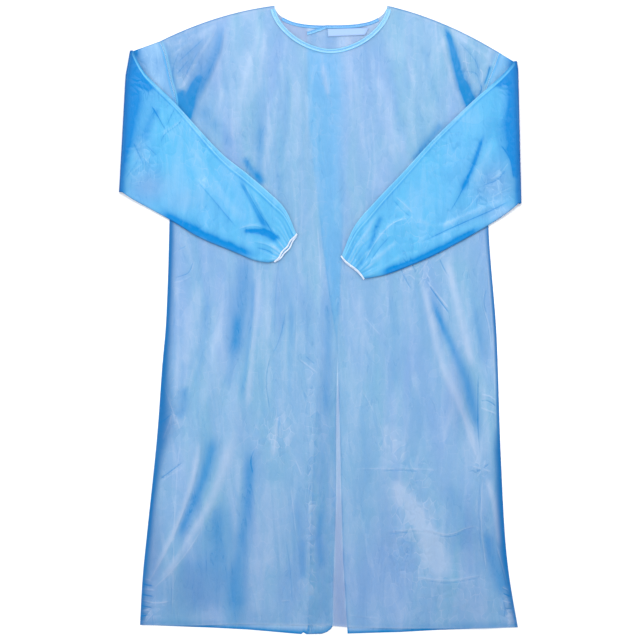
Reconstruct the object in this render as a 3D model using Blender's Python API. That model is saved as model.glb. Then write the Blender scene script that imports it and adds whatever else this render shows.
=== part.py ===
"""Long-sleeved film apron, lying on its back with both sleeves folded in over the front.

Units in the tables are millimetres. +X is the right side as seen from above, +Y runs
from the hem to the neck, and +Z is up. The surface that the garment lies on is z = 0.
The garment is a back in two panels that lap at the neck and part towards the hem, a
front, and two sleeves. Each panel is a thin wall, and what lies on a panel is made
from that panel's own height.
"""

import math

import bmesh
import bpy

MM = 0.001

# Wall of every film piece, and the clearance at seams and between layers
WALL = 1.0
SEAM_GAP = 0.3
LAYER = WALL + SEAM_GAP
SHARP_ANGLE = 40.0

# Neck: the points where the shoulder seams meet it, and how far front and back scoop
NECK_LEFT_X = -85.6
NECK_RIGHT_X = 125.5
NECK_Y = 589.0
FRONT_NECK_DROP = 81.5
FRONT_NECK_CURVE = (1.8, 0.6)
BACK_NECK_DROP = 37.0
BACK_NECK_CURVE = (3.0, 0.55)

# Neck bindings: their widths, where they start and end, and the steps along them
BINDING_WIDTH = 8.5
BINDING_END_GAP = 2.5
BINDING_LIFT = 0.15
BINDING_STEPS = 26
BACK_BINDING_WIDTH = 6.0
BACK_LEFT_BINDING_ENDS = (-63.0, 48.5)
BACK_LEFT_BINDING_STEPS = 12
BACK_RIGHT_BINDING_END = 101.0
BACK_RIGHT_BINDING_LAST_COLUMN = 95.0
SLOPE_STEP = 0.5

# Shoulder seams run from the neck to the tips, bowed upwards
SHOULDER_BOW = 10.0

# Body edge from the shoulder tip down the armhole and the side to the hem corner
ARMHOLE_ROWS = [
    # name, left x, left y, right x, right y
    ("shoulder tip", -300.4, 522.2, 335.3, 501.0),
    ("upper armhole", -291.0, 497.0, 326.0, 475.0),
    ("chest", -280.5, 450.0, 311.0, 434.0),
    ("deepest", -270.0, 404.0, 303.5, 405.0),
    ("lower armhole", -274.0, 340.0, 306.0, 330.0),
    ("armpit", -281.6, 273.8, 312.8, 255.0),
]
SIDE_ROWS = [
    # name, left x, left y, right x, right y
    ("armpit", -281.6, 273.8, 312.8, 255.0),
    ("bust", -283.3, 150.0, 316.5, 150.0),
    ("waist", -288.8, 0.0, 328.8, 0.0),
    ("high hip", -296.4, -90.0, 333.0, -90.0),
    ("hip", -306.4, -225.0, 337.3, -225.0),
    ("thigh", -323.6, -390.0, 345.4, -390.0),
    ("knee", -332.8, -482.0, 354.6, -482.0),
    ("hem", -337.9, -571.7, 370.5, -576.0),
]

# Hem of the front, and of the two back panels that hang a little lower
FRONT_HEM = [(-337.9, -571.7), (-256.0, -572.6), (-150.4, -569.6), (18.0, -572.4),
             (47.6, -575.3), (149.6, -577.5), (307.5, -578.3), (370.5, -576.0)]
BACK_LEFT_HEM = [(-329.9, -571.9), (-198.8, -576.9), (-131.6, -580.5), (-35.6, -589.0),
                 (-31.7, -585.6), (-26.1, -589.0), (2.6, -588.2), (16.1, -582.0), (22.7, -575.3)]
BACK_RIGHT_HEM = [(51.4, -587.8), (149.6, -585.0), (221.4, -581.0), (307.5, -578.3),
                  (362.5, -576.4)]

# Free edges of the back opening, and the inner edge of the left panel's turned-in strip
OPENING_ROWS = [
    # name, y, left panel's edge x, right panel's edge x
    ("neck", 552.0, 50.0, -24.8),
    ("shoulder blades", 375.0, 50.0, -22.0),
    ("upper back", 150.0, 42.0, 3.4),
    ("small of back", 50.0, 37.0, 16.5),
    ("crossing", -43.0, 32.4, 31.5),
    ("seat", -206.0, 29.6, 37.1),
    ("thigh", -337.0, 30.0, 39.8),
    ("knee", -450.0, 26.0, 43.0),
    ("hem", -589.0, 22.7, 51.4),
]
FACING_ROWS = [
    # name, y, inner edge x
    ("top", -60.0, -0.5),
    ("seat", -206.0, -9.8),
    ("thigh", -400.0, -17.8),
    ("hem", -586.0, -23.5),
]

FACING_STEPS = 14
FACING_COLUMNS = (0.0, 0.4, 0.8, 1.0)
FACING_EDGE_INSET = 1.5
FACING_HEM_INSET = 0.5

# Columns of each panel, by where they start at the top edge and end at the hem
FRONT_SHOULDER_STEPS = 9
FRONT_NECK_STEPS = 12
FRONT_EDGE_STRIP = 5.5
BACK_LEFT_COLUMNS = [
    # top x, hem x
    (-300.4, -329.9), (-215.0, -230.0), (-150.0, -150.0), (-85.6, -85.0), (-62.0, -50.0),
    (-38.0, -35.6), (-22.0, -31.7), (-5.0, -26.1), (16.0, 2.6), (33.0, 16.1), (50.0, 22.7),
]
BACK_RIGHT_COLUMNS = [
    # top x, hem x
    (-24.8, 51.4), (-12.0, 62.0), (0.0, 73.0), (13.0, 84.0), (26.0, 96.0), (39.0, 108.0),
    (52.0, 120.0), (65.0, 133.0), (80.0, 148.0), (100.0, 168.0), (125.5, 190.0),
    (190.0, 245.0), (260.0, 302.0), (335.3, 362.5),
]
ARMHOLE_STEPS = 10
FRONT_SIDE_STEPS = 19
BACK_SIDE_STEPS = 8
COLLAR_SHARE = 0.45

# Heights of the front over the back, and of the right back panel over the left one
FRONT_LOFT = 1.9
LOFT_FROM_SIDE = 90.0
LOFT_FROM_TOP = 60.0
BACK_SIDE_INSET = 8.0
BACK_INSET_STEPS = 2.0
ROLL_START = 110.0
ROLL_FADE = 80.0
ROLL_WIDTH = 5.0
LAP_CLEAR = 18.0
LAP_RAMP = 16.0
LAP_END_Y = -270.0
LAP_FADE = 150.0
BINDING_LIFT_Y = 515.0
BINDING_LIFT_RAMP = 20.0
CORNER_DROOP = 14.0
CORNER_DROOP_X = 10.7
CORNER_DROOP_RUN = 35.5

# Largest folds of the front, as soft ridges along a few points
FRONT_FOLDS = [
    # name, height, half width, points
    ("left shoulder", 2.6, 19.0, [(-182, 553), (-205, 501), (-229, 452), (-250, 399)]),
    ("right shoulder", 2.6, 19.0, [(232, 551), (245, 521), (255, 467), (275, 425)]),
    ("left chest", 1.6, 22.0, [(-100, 540), (-131, 453), (-138, 380)]),
    ("right chest", 1.6, 22.0, [(106, 456), (123, 358), (146, 300)]),
    ("centre chest", 1.2, 20.0, [(5, 476), (18, 410)]),
    ("left long outer", 3.4, 21.0, [(-169, 19), (-197, -94), (-231, -244), (-256, -347),
                                    (-294, -440)]),
    ("left long inner", 3.8, 23.0, [(-90, 75), (-132, -112), (-171, -206), (-196, -307),
                                    (-216, -362), (-274, -460)]),
    ("left valley edge", 2.2, 22.0, [(-122, -328), (-146, -562)]),
    ("left hem outer", 2.6, 24.0, [(-230, -440), (-214, -580)]),
    ("right long inner", 3.6, 22.0, [(200, 54), (210, -26), (239, -101), (263, -173),
                                     (275, -231)]),
    ("right long outer", 3.0, 20.0, [(234, 60), (253, 35), (275, -27), (292, -101), (290, -215)]),
    ("right drop", 2.8, 21.0, [(292, -285), (292, -382), (303, -477), (318, -560)]),
    ("right packing crease", 1.8, 20.0, [(114, -281), (190, -287)]),
    ("right knee crease", 2.0, 20.0, [(93, -399), (189, -397), (277, -391)]),
    ("right hem crease", 1.8, 20.0, [(194, -482), (247, -488), (307, -479)]),
    ("centre left drop", 2.2, 22.0, [(-48, 30), (-62, -140), (-66, -330)]),
    ("centre right drop", 2.0, 22.0, [(96, 20), (104, -110), (92, -230)]),
    ("right hem wave", 2.4, 26.0, [(150, -420), (168, -585)]),
]
FOLD_CLEAR_SIDE = 30.0
FOLD_CLEAR_TOP = 40.0
FOLD_CLEAR_NECK = 25.0
FOLD_FADE = 0.2
FOLD_END_HEIGHT = 0.3

# Sleeves, each a flattened tube: stations after the elbow fold, from fold to cuff
LEFT_SLEEVE = {
    "side": -1,
    "armhole": [(row[1], row[2]) for row in ARMHOLE_ROWS],
    "fold": [(-350.6, 504.0), (-359.0, 456.6), (-371.1, 239.5)],
    "stations": [
        # name, upper edge x, upper edge y, lower edge x, lower edge y
        ("fold", -350.6, 504.0, -371.1, 239.5),
        ("past fold", -329.3, 463.7, -349.5, 225.0),
        ("elbow", -269.4, 403.9, -282.2, 188.1),
        ("forearm", -190.5, 317.8, -225.0, 154.0),
        ("low forearm", -137.8, 274.7, -165.4, 129.0),
        ("wrist", -99.4, 241.9, -127.0, 113.0),
        ("gathers", -66.0, 208.0, -101.0, 107.5),
        ("cuff", -45.6, 163.0, -86.6, 109.0),
    ],
    "cuff_gape": 5.0,
    "folds": [
        # name, height, half width, points
        ("elbow crease", 1.6, 16.0, [(-234, 269), (-154, 167)]),
        ("top edge roll", 1.2, 18.0, [(-300, 400), (-190, 290)]),
        ("low edge roll", 1.4, 18.0, [(-340, 250), (-240, 185), (-150, 145)]),
    ],
}
RIGHT_SLEEVE = {
    "side": 1,
    "armhole": [(row[3], row[4]) for row in ARMHOLE_ROWS],
    "fold": [(363.0, 484.0), (365.3, 468.0), (371.1, 218.0)],
    "stations": [
        # name, upper edge x, upper edge y, lower edge x, lower edge y
        ("fold", 363.0, 484.0, 371.1, 218.0),
        ("past fold", 340.0, 458.0, 345.0, 196.5),
        ("elbow", 290.0, 414.0, 290.0, 162.4),
        ("forearm", 214.7, 341.6, 222.0, 125.5),
        ("low forearm", 157.5, 279.4, 168.0, 101.5),
        ("wrist", 105.6, 225.0, 128.0, 86.5),
        ("gathers", 65.0, 177.0, 104.0, 80.5),
        ("cuff", 41.4, 122.2, 83.4, 77.2),
    ],
    "cuff_gape": 1.5,
    "folds": [
        # name, height, half width, points
        ("elbow crease", 1.8, 17.0, [(300, 330), (245, 209)]),
        ("wrist ridge", 1.4, 15.0, [(190, 190), (116, 160)]),
        ("low edge roll", 1.4, 18.0, [(330, 215), (236, 155), (150, 112)]),
    ],
}
FOLD_RADIUS = 6.0
BEND_STEPS = 6
UPPER_ARM_STEPS = 3
STEPS_PER_STATION = 2
FOREARM_CLEAR = 0.8
FOREARM_PROBE = 22.0
STRIP_PROBE = 9.0
SETTLE_STATIONS = 2.2
TUBE_DEPTH = 2.0 * WALL + SEAM_GAP
UNDERSIDE_DEPTH = WALL + 0.1
FOLD_EDGE_SHARE = 0.08
EDGE_ROUND = 0.6
INNER_CORNER_INSET = 1.3
GATHERS = 5
GATHER_HEIGHT = 1.3
GATHER_START = 4.6
CUFF_RIM = 3.0

# Fastening strip inside the neck of the right back panel
TAPE_UPPER = [(13.7, 545.1), (26.0, 545.5), (39.0, 545.8), (52.0, 546.2), (65.0, 546.5),
              (80.0, 546.9), (90.9, 547.1)]
TAPE_LOWER = [(14.6, 530.8), (26.5, 531.3), (38.5, 531.8), (51.0, 532.4), (62.5, 532.9),
              (75.0, 533.5), (83.8, 534.0)]

# Colours, with alpha 1 and roughness after them
FILM = ((0.36, 0.62, 0.89, 1.0), 0.32)
SLEEVE_FILM = ((0.24, 0.60, 0.93, 1.0), 0.30)
BINDING = ((0.42, 0.74, 0.97, 1.0), 0.38)
ELASTIC = ((0.85, 0.93, 0.98, 1.0), 0.70)
TAPE = ((0.66, 0.78, 0.93, 1.0), 0.80)


def clamp(value):
    return min(1.0, max(0.0, value))


def smooth(value):
    """Ease from 0 to 1 with flat ends."""
    value = clamp(value)
    return value * value * (3.0 - 2.0 * value)


def mix(start, end, share):
    return start + (end - start) * share


def bow(share):
    """Rise from 0 at the start to 1 in the middle, and back to 0 at the end."""
    return 4.0 * share * (1.0 - share)


def mix_point(start, end, share):
    return tuple(mix(a, b, share) for a, b in zip(start, end))


def along(points, share):
    """The point at a share of a polyline's length."""
    lengths = [math.dist(a, b) for a, b in zip(points, points[1:])]
    target = share * sum(lengths)
    for start, end, length in zip(points, points[1:], lengths):
        if target <= length or end is points[-1]:
            return mix_point(start, end, target / length)
        target -= length


def value_at(pairs, key):
    """Straight-line value at a key from pairs (key, value) whose keys fall."""
    for (key_a, value_a), (key_b, value_b) in zip(pairs, pairs[1:]):
        if key >= key_b:
            break
    return mix(value_a, value_b, clamp((key_a - key) / (key_a - key_b)))


def height_at(points, x):
    """The y of a polyline of points whose x rises."""
    for (x_a, y_a), (x_b, y_b) in zip(points, points[1:]):
        if x <= x_b:
            break
    return mix(y_a, y_b, clamp((x - x_a) / (x_b - x_a)))


def opening_edge(y, column):
    return value_at([(row[1], row[column]) for row in OPENING_ROWS], y)


def left_edge_x(y):
    rows = ARMHOLE_ROWS + SIDE_ROWS[1:]
    return value_at([(row[2], row[1]) for row in rows], y)


def right_edge_x(y):
    rows = ARMHOLE_ROWS + SIDE_ROWS[1:]
    return value_at([(row[4], row[3]) for row in rows], y)


def top_y(x, drop, curve):
    """Top edge of a panel: shoulder seams outside the neck, a scoop of the given drop inside."""
    tip = ARMHOLE_ROWS[0]
    if x < NECK_LEFT_X:
        share = (NECK_LEFT_X - x) / (NECK_LEFT_X - tip[1])
        return mix(NECK_Y, tip[2], share) + SHOULDER_BOW * bow(share)
    if x > NECK_RIGHT_X:
        share = (x - NECK_RIGHT_X) / (tip[3] - NECK_RIGHT_X)
        return mix(NECK_Y, tip[4], share) + SHOULDER_BOW * bow(share)
    middle = (NECK_LEFT_X + NECK_RIGHT_X) / 2.0
    offset = abs(x - middle) / (NECK_RIGHT_X - middle)
    power, root = curve
    return NECK_Y - drop * max(0.0, 1.0 - offset ** power) ** root


def front_top_edge(x):
    return top_y(x, FRONT_NECK_DROP, FRONT_NECK_CURVE)


def back_top_edge(x):
    return top_y(x, BACK_NECK_DROP, BACK_NECK_CURVE)


def back_right_top_edge(x):
    """The right panel's neck corner droops where it laps the left panel."""
    droop = CORNER_DROOP * clamp((CORNER_DROOP_X - x) / CORNER_DROOP_RUN)
    return back_top_edge(x) - droop


def fold_height(folds, x, y):
    """Sum of soft ridges, each fading out at its two ends."""
    total = 0.0
    for _name, height, half_width, points in folds:
        best = None
        run = 0.0
        whole = sum(math.dist(a, b) for a, b in zip(points, points[1:]))
        for start, end in zip(points, points[1:]):
            step = math.dist(start, end)
            dot = (x - start[0]) * (end[0] - start[0]) + (y - start[1]) * (end[1] - start[1])
            share = clamp(dot / step ** 2)
            near = mix_point(start, end, share)
            gap = math.dist((x, y), near)
            if best is None or gap < best[0]:
                best = (gap, (run + share * step) / whole)
            run += step
        gap, place = best
        taper = smooth(place / FOLD_FADE) * smooth((1.0 - place) / FOLD_FADE)
        total += height * mix(FOLD_END_HEIGHT, 1.0, taper) * math.exp(-((gap / half_width) ** 2))
    return total


def front_lower(x, y):
    """Underside of the front: lofted over the back, rolled down to the surface at the sides."""
    side = max(0.0, min(x - left_edge_x(y), right_edge_x(y) - x))
    shoulder_line = top_y(x, 0.0, FRONT_NECK_CURVE)
    below = max(0.0, shoulder_line - y)
    loft = FRONT_LOFT * smooth(side / LOFT_FROM_SIDE) * smooth(below / LOFT_FROM_TOP)
    clear = smooth(side / FOLD_CLEAR_SIDE) * smooth(below / FOLD_CLEAR_TOP)
    if NECK_LEFT_X < x < NECK_RIGHT_X:
        clear *= smooth((front_top_edge(x) - y) / FOLD_CLEAR_NECK)
    armpit = SIDE_ROWS[0][2]
    roll = smooth((armpit - ROLL_START - y) / ROLL_FADE)
    roll *= 1.0 - clamp(side / ROLL_WIDTH)
    return LAYER * (1.0 - roll) + loft + clear * fold_height(FRONT_FOLDS, x, y)


def front_upper(x, y):
    return front_lower(x, y) + WALL


def back_right_lower(x, y):
    """Underside of the right back panel: it climbs over the left panel and its neck binding."""
    lap = smooth((opening_edge(y, 2) + LAP_CLEAR + LAP_RAMP - x) / LAP_RAMP)
    lap *= smooth((y - LAP_END_Y) / LAP_FADE)
    binding = smooth((y - BINDING_LIFT_Y) / BINDING_LIFT_RAMP)
    return LAYER * lap * (1.0 + binding)


def back_right_upper(x, y):
    return back_right_lower(x, y) + WALL


def edge_points(side, side_steps, inset):
    """Points down one body edge: the shared armhole points, then the side to the hem."""
    first = 1 if side < 0 else 3
    armhole = [(row[first], row[first + 1]) for row in ARMHOLE_ROWS]
    seam = [(row[first], row[first + 1]) for row in SIDE_ROWS]
    points = [along(armhole, step / ARMHOLE_STEPS) for step in range(ARMHOLE_STEPS + 1)]
    points.insert(1, mix_point(points[0], points[1], COLLAR_SHARE))
    for step in range(1, side_steps + 1):
        x, y = along(seam, step / side_steps)
        points.append((x - side * inset * smooth(step / BACK_INSET_STEPS), y))
    return points


def opening_points(column, rows, top, bottom):
    """Points down one free edge of the back, at the rows' shares between its two ends."""
    points = []
    for share in rows:
        y = mix(top[1], bottom[1], share)
        points.append((opening_edge(y, column), y))
    points[0] = top
    points[-1] = bottom
    return points


def row_shares(points):
    """Share of the panel's height at each edge point."""
    top = points[0][1]
    bottom = points[-1][1]
    return [(top - y) / (top - bottom) for _x, y in points]


def panel_grid(tops, hems, lefts, rights, shares):
    """Plan of a panel: a patch blended between its top edge, hem and two sides."""
    span = tops[-1][0] - tops[0][0]
    grid = []
    for share, left, right in zip(shares, lefts, rights):
        row = []
        for top, hem in zip(tops, hems):
            across = (top[0] - tops[0][0]) / span
            point = []
            for axis in (0, 1):
                down = mix(top[axis], hem[axis], share)
                over = mix(left[axis], right[axis], across)
                upper = mix(tops[0][axis], tops[-1][axis], across)
                lower = mix(hems[0][axis], hems[-1][axis], across)
                point.append(down + over - mix(upper, lower, share))
            row.append(tuple(point))
        grid.append(row)
    return grid


def material(name, finish):
    colour, roughness = finish
    made = bpy.data.materials.new(name)
    made.use_nodes = True
    shader = made.node_tree.nodes["Principled BSDF"]
    shader.inputs["Base Color"].default_value = colour
    shader.inputs["Roughness"].default_value = roughness
    shader.inputs["Metallic"].default_value = 0.0
    made.diffuse_color = colour
    return made


def finish_object(name, mesh_data, finish):
    """Close the mesh with outward faces and put it in the scene under its own name."""
    bmesh.ops.recalc_face_normals(mesh_data, faces=mesh_data.faces)
    mesh = bpy.data.meshes.new(name)
    mesh_data.to_mesh(mesh)
    mesh_data.free()
    mesh.shade_smooth()
    mesh.set_sharp_from_angle(angle=math.radians(SHARP_ANGLE))
    mesh.materials.append(material(name + "_finish", finish))
    placed = bpy.data.objects.new(name, mesh)
    bpy.context.scene.collection.objects.link(placed)
    return placed


def wall_from_grid(name, plan, lower, upper, finish):
    """A thin wall over a plan grid, between two height functions."""
    data = bmesh.new()
    layers = []
    for height in (lower, upper):
        layers.append([[data.verts.new((x * MM, y * MM, height(x, y) * MM)) for x, y in row]
                       for row in plan])
    rows = len(plan)
    columns = len(plan[0])
    for layer in layers:
        for i in range(rows - 1):
            for j in range(columns - 1):
                data.faces.new((layer[i][j], layer[i][j + 1],
                                layer[i + 1][j + 1], layer[i + 1][j]))
    rim = [(0, j) for j in range(columns)]
    rim += [(i, columns - 1) for i in range(1, rows)]
    rim += [(rows - 1, j) for j in range(columns - 2, -1, -1)]
    rim += [(i, 0) for i in range(rows - 2, 0, -1)]
    low, high = layers
    for (i, j), (m, n) in zip(rim, rim[1:] + rim[:1]):
        data.faces.new((low[i][j], low[m][n], high[m][n], high[i][j]))
    return finish_object(name, data, finish)


def tube_from_rings(name, outer, inner, finish):
    """A tube wall between an outer and an inner loop at each ring, open at both ends."""
    data = bmesh.new()
    shells = []
    for rings in (outer, inner):
        shells.append([[data.verts.new([c * MM for c in point]) for point in ring]
                       for ring in rings])
    count = len(outer[0])
    for shell in shells:
        for ring, following in zip(shell, shell[1:]):
            for k in range(count):
                nxt = (k + 1) % count
                data.faces.new((ring[k], ring[nxt], following[nxt], following[k]))
    outer_shell, inner_shell = shells
    for end in (0, -1):
        for k in range(count):
            nxt = (k + 1) % count
            data.faces.new((outer_shell[end][k], outer_shell[end][nxt],
                            inner_shell[end][nxt], inner_shell[end][k]))
    return finish_object(name, data, finish)


def build_front():
    """Front panel, with its largest folds and its sides rolled down."""
    lefts = edge_points(-1, FRONT_SIDE_STEPS, 0.0)
    rights = edge_points(1, FRONT_SIDE_STEPS, 0.0)
    tip_left = lefts[0][0]
    tip_right = rights[0][0]
    spans = [(tip_left, NECK_LEFT_X, FRONT_SHOULDER_STEPS),
             (NECK_LEFT_X, NECK_RIGHT_X, FRONT_NECK_STEPS),
             (NECK_RIGHT_X, tip_right, FRONT_SHOULDER_STEPS)]
    top_xs = [mix(a, b, step / steps) for a, b, steps in spans for step in range(steps)]
    top_xs += [tip_right]
    top_xs.insert(1, tip_left + FRONT_EDGE_STRIP)
    top_xs.insert(-1, tip_right - FRONT_EDGE_STRIP)
    hem_left = FRONT_HEM[0][0]
    hem_right = FRONT_HEM[-1][0]
    hem_xs = [mix(hem_left, hem_right, (x - tip_left) / (tip_right - tip_left)) for x in top_xs]
    tops = [(x, front_top_edge(x)) for x in top_xs]
    hems = [(x, height_at(FRONT_HEM, x)) for x in hem_xs]
    plan = panel_grid(tops, hems, lefts, rights, row_shares(lefts))
    return wall_from_grid("front", plan, front_lower, front_upper, FILM)


def build_back_left():
    """Left back panel, flat on the surface, with the notch in its hem."""
    lefts = edge_points(-1, BACK_SIDE_STEPS, BACK_SIDE_INSET)
    tops = [(x, back_top_edge(x)) for x, _hem in BACK_LEFT_COLUMNS]
    hems = [(x, height_at(BACK_LEFT_HEM, x)) for _top, x in BACK_LEFT_COLUMNS]
    shares = row_shares(lefts)
    rights = opening_points(2, shares, tops[-1], hems[-1])
    plan = panel_grid(tops, hems, lefts, rights, shares)
    return wall_from_grid("back_left", plan, lambda x, y: 0.0, lambda x, y: WALL, FILM)


def build_back_right():
    """Right back panel, lapping over the left one from the neck to below the waist."""
    rights = edge_points(1, BACK_SIDE_STEPS, BACK_SIDE_INSET)
    tops = [(x, back_right_top_edge(x)) for x, _hem in BACK_RIGHT_COLUMNS]
    hems = [(x, height_at(BACK_RIGHT_HEM, x)) for _top, x in BACK_RIGHT_COLUMNS]
    shares = row_shares(rights)
    lefts = opening_points(3, shares, tops[0], hems[0])
    plan = panel_grid(tops, hems, lefts, rights, shares)
    return wall_from_grid("back_right", plan, back_right_lower, back_right_upper, FILM)


def build_facing():
    """Turned-in strip along the left panel's free edge, from below the lap to the hem."""
    top = FACING_ROWS[0][1]
    bottom = FACING_ROWS[-1][1]
    inner = [(row[1], row[2]) for row in FACING_ROWS]
    plan = []
    for step in range(FACING_STEPS + 1):
        y = mix(top, bottom, step / FACING_STEPS)
        left = value_at(inner, y)
        right = opening_edge(y, 2) - FACING_EDGE_INSET
        row = []
        for share in FACING_COLUMNS:
            x = mix(left, right, share)
            row.append((x, max(y, height_at(BACK_LEFT_HEM, x) + FACING_HEM_INSET)))
        plan.append(row)
    return wall_from_grid("back_left_facing", plan, lambda x, y: LAYER,
                          lambda x, y: LAYER + WALL, FILM)


def highest_near(height, x, y, reach):
    """The highest of a surface at a point and the eight around it."""
    steps = (-reach, 0.0, reach)
    return max(height(x + step_x, y + step_y) for step_x in steps for step_y in steps)


def on_back_right(x, y):
    return highest_near(back_right_upper, x, y, STRIP_PROBE) + SEAM_GAP


def binding_plan(xs, edge, width):
    """Strip of the binding's width just inside a neck edge."""
    plan = [[], []]
    for x in xs:
        slope = (edge(x + SLOPE_STEP) - edge(x - SLOPE_STEP)) / (2.0 * SLOPE_STEP)
        size = math.hypot(1.0, slope)
        y = edge(x)
        plan[0].append((x, y))
        plan[1].append((x + width * slope / size, y - width / size))
    return plan


def build_bindings():
    """Bound neck edges: one strip on the front, and one on each back panel."""
    made = []
    middle = (NECK_LEFT_X + NECK_RIGHT_X) / 2.0
    reach = NECK_RIGHT_X - middle
    angles = [math.pi * step / BINDING_STEPS for step in range(BINDING_STEPS + 1)]
    xs = [middle - (reach - BINDING_END_GAP) * math.cos(angle) for angle in angles]
    plan = binding_plan(xs, front_top_edge, BINDING_WIDTH)
    lift = SEAM_GAP + BINDING_LIFT
    made.append(wall_from_grid("neck_binding_front", plan,
                               lambda x, y: front_upper(x, y) + lift,
                               lambda x, y: front_upper(x, y) + lift + WALL, BINDING))
    start, end = BACK_LEFT_BINDING_ENDS
    xs = [mix(start, end, step / BACK_LEFT_BINDING_STEPS)
          for step in range(BACK_LEFT_BINDING_STEPS + 1)]
    plan = binding_plan(xs, back_top_edge, BACK_BINDING_WIDTH)
    made.append(wall_from_grid("neck_binding_back_left", plan, lambda x, y: LAYER,
                               lambda x, y: LAYER + WALL, BINDING))
    xs = [top for top, _hem in BACK_RIGHT_COLUMNS if top < BACK_RIGHT_BINDING_LAST_COLUMN]
    xs += [BACK_RIGHT_BINDING_END]
    plan = binding_plan(xs, back_right_top_edge, BACK_BINDING_WIDTH)
    made.append(wall_from_grid("neck_binding_back_right", plan,
                               on_back_right, lambda x, y: on_back_right(x, y) + WALL, BINDING))
    return made


def build_tape():
    """Fastening strip stuck inside the right panel's neck."""
    return wall_from_grid("neck_tape", [TAPE_UPPER, TAPE_LOWER],
                          on_back_right, lambda x, y: on_back_right(x, y) + WALL, TAPE)


def station_curve(stations, place, first):
    """Smooth curve through one edge of the sleeve's stations, at a place counted in stations."""
    points = [(row[first], row[first + 1]) for row in stations]
    index = min(int(place), len(points) - 2)
    share = place - index
    before = points[max(index - 1, 0)]
    start = points[index]
    end = points[index + 1]
    after = points[min(index + 2, len(points) - 1)]
    result = []
    for a, b, c, d in zip(before, start, end, after):
        slope_b = (c - a) / 2.0
        slope_c = (d - b) / 2.0
        square = share * share
        cube = square * share
        result.append((2 * cube - 3 * square + 1) * b + (cube - 2 * square + share) * slope_b
                      + (3 * square - 2 * cube) * c + (cube - square) * slope_c)
    return tuple(result)


def armhole_point(sleeve, across):
    """Point on the armhole, along the same chords as the body panels' edges."""
    step = min(int(clamp(across) * ARMHOLE_STEPS), ARMHOLE_STEPS - 1)
    start = along(sleeve["armhole"], step / ARMHOLE_STEPS)
    end = along(sleeve["armhole"], (step + 1) / ARMHOLE_STEPS)
    point = mix_point(start, end, across * ARMHOLE_STEPS - step)
    return (point[0] + sleeve["side"] * SEAM_GAP, point[1])


def forearm_rest(x, y):
    """Height that a folded-in sleeve rests on: the highest of the front close by."""
    return highest_near(front_upper, x, y, FOREARM_PROBE) + FOREARM_CLEAR


def cuff_direction(sleeve):
    """Unit direction out of the cuff, square to its edge."""
    cuff = sleeve["stations"][-1]
    run = (cuff[3] - cuff[1], cuff[4] - cuff[2])
    size = math.hypot(run[0], run[1])
    return (sleeve["side"] * run[1] / size, -sleeve["side"] * run[0] / size)


def upper_arm_point(sleeve, share, across, depth):
    """From the armhole to the elbow fold, flat on the surface with the back of the sleeve down."""
    start = armhole_point(sleeve, across)
    end = along(sleeve["fold"], clamp(across))
    x, y = mix_point(start, end, share)
    return (x, y, depth)


def bend_point(sleeve, turn, across, depth):
    """Round the elbow fold, with the back of the sleeve on the outside."""
    x, y = along(sleeve["fold"], clamp(across))
    radius = FOLD_RADIUS - depth
    return (x + sleeve["side"] * radius * math.sin(turn), y,
            FOLD_RADIUS - radius * math.cos(turn))


def forearm_point(sleeve, place, across, depth, beyond=0.0):
    """Folded in over the front, with the back of the sleeve now on top."""
    stations = sleeve["stations"]
    upper = station_curve(stations, place, 1)
    lower = station_curve(stations, place, 3)
    x, y = mix_point(upper, lower, across)
    fold = along(sleeve["fold"], clamp(across))
    x, y = mix_point((x, y), fold, clamp(1.0 - place))
    direction = cuff_direction(sleeve)
    last = len(stations) - 1
    near_cuff = smooth(place - last + 1.0)
    shift = beyond
    if depth > UNDERSIDE_DEPTH:
        shift += sleeve["cuff_gape"] * near_cuff * bow(clamp(across))
    x += direction[0] * shift
    y += direction[1] * shift
    settled = smooth(place / SETTLE_STATIONS)
    top = mix(2.0 * FOLD_RADIUS, forearm_rest(x, y) + TUBE_DEPTH, settled)
    if depth < UNDERSIDE_DEPTH:
        edge = smooth(min(across, 1.0 - across) / FOLD_EDGE_SHARE)
        gather = 0.5 - 0.5 * math.cos(2.0 * math.pi * GATHERS * clamp(across))
        gather *= GATHER_HEIGHT * smooth((place - GATHER_START) / (last - GATHER_START))
        top += edge * settled * (fold_height(sleeve["folds"], x, y) + gather)
    return (x, y, top - depth)


def cross_section(width):
    """Outer and inner loops of the flattened tube, as (across, depth) pairs."""
    steps = range(ARMHOLE_STEPS + 1)
    inset = WALL / width
    corner = INNER_CORNER_INSET * inset
    middle = TUBE_DEPTH / 2.0
    outer = [(step / ARMHOLE_STEPS, 0.0) for step in steps]
    outer += [(1.0 + EDGE_ROUND / width, middle)]
    outer += [(step / ARMHOLE_STEPS, TUBE_DEPTH) for step in reversed(steps)]
    outer += [(-EDGE_ROUND / width, middle)]
    inner = [(mix(corner, 1.0 - corner, step / ARMHOLE_STEPS), WALL) for step in steps]
    inner += [(1.0 - inset, middle)]
    inner += [(mix(corner, 1.0 - corner, step / ARMHOLE_STEPS), LAYER)
              for step in reversed(steps)]
    inner += [(inset, middle)]
    return outer, inner


def ring_loops(width, place_point):
    outer, inner = cross_section(width)
    return ([place_point(across, depth) for across, depth in outer],
            [place_point(across, depth) for across, depth in inner])


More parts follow.
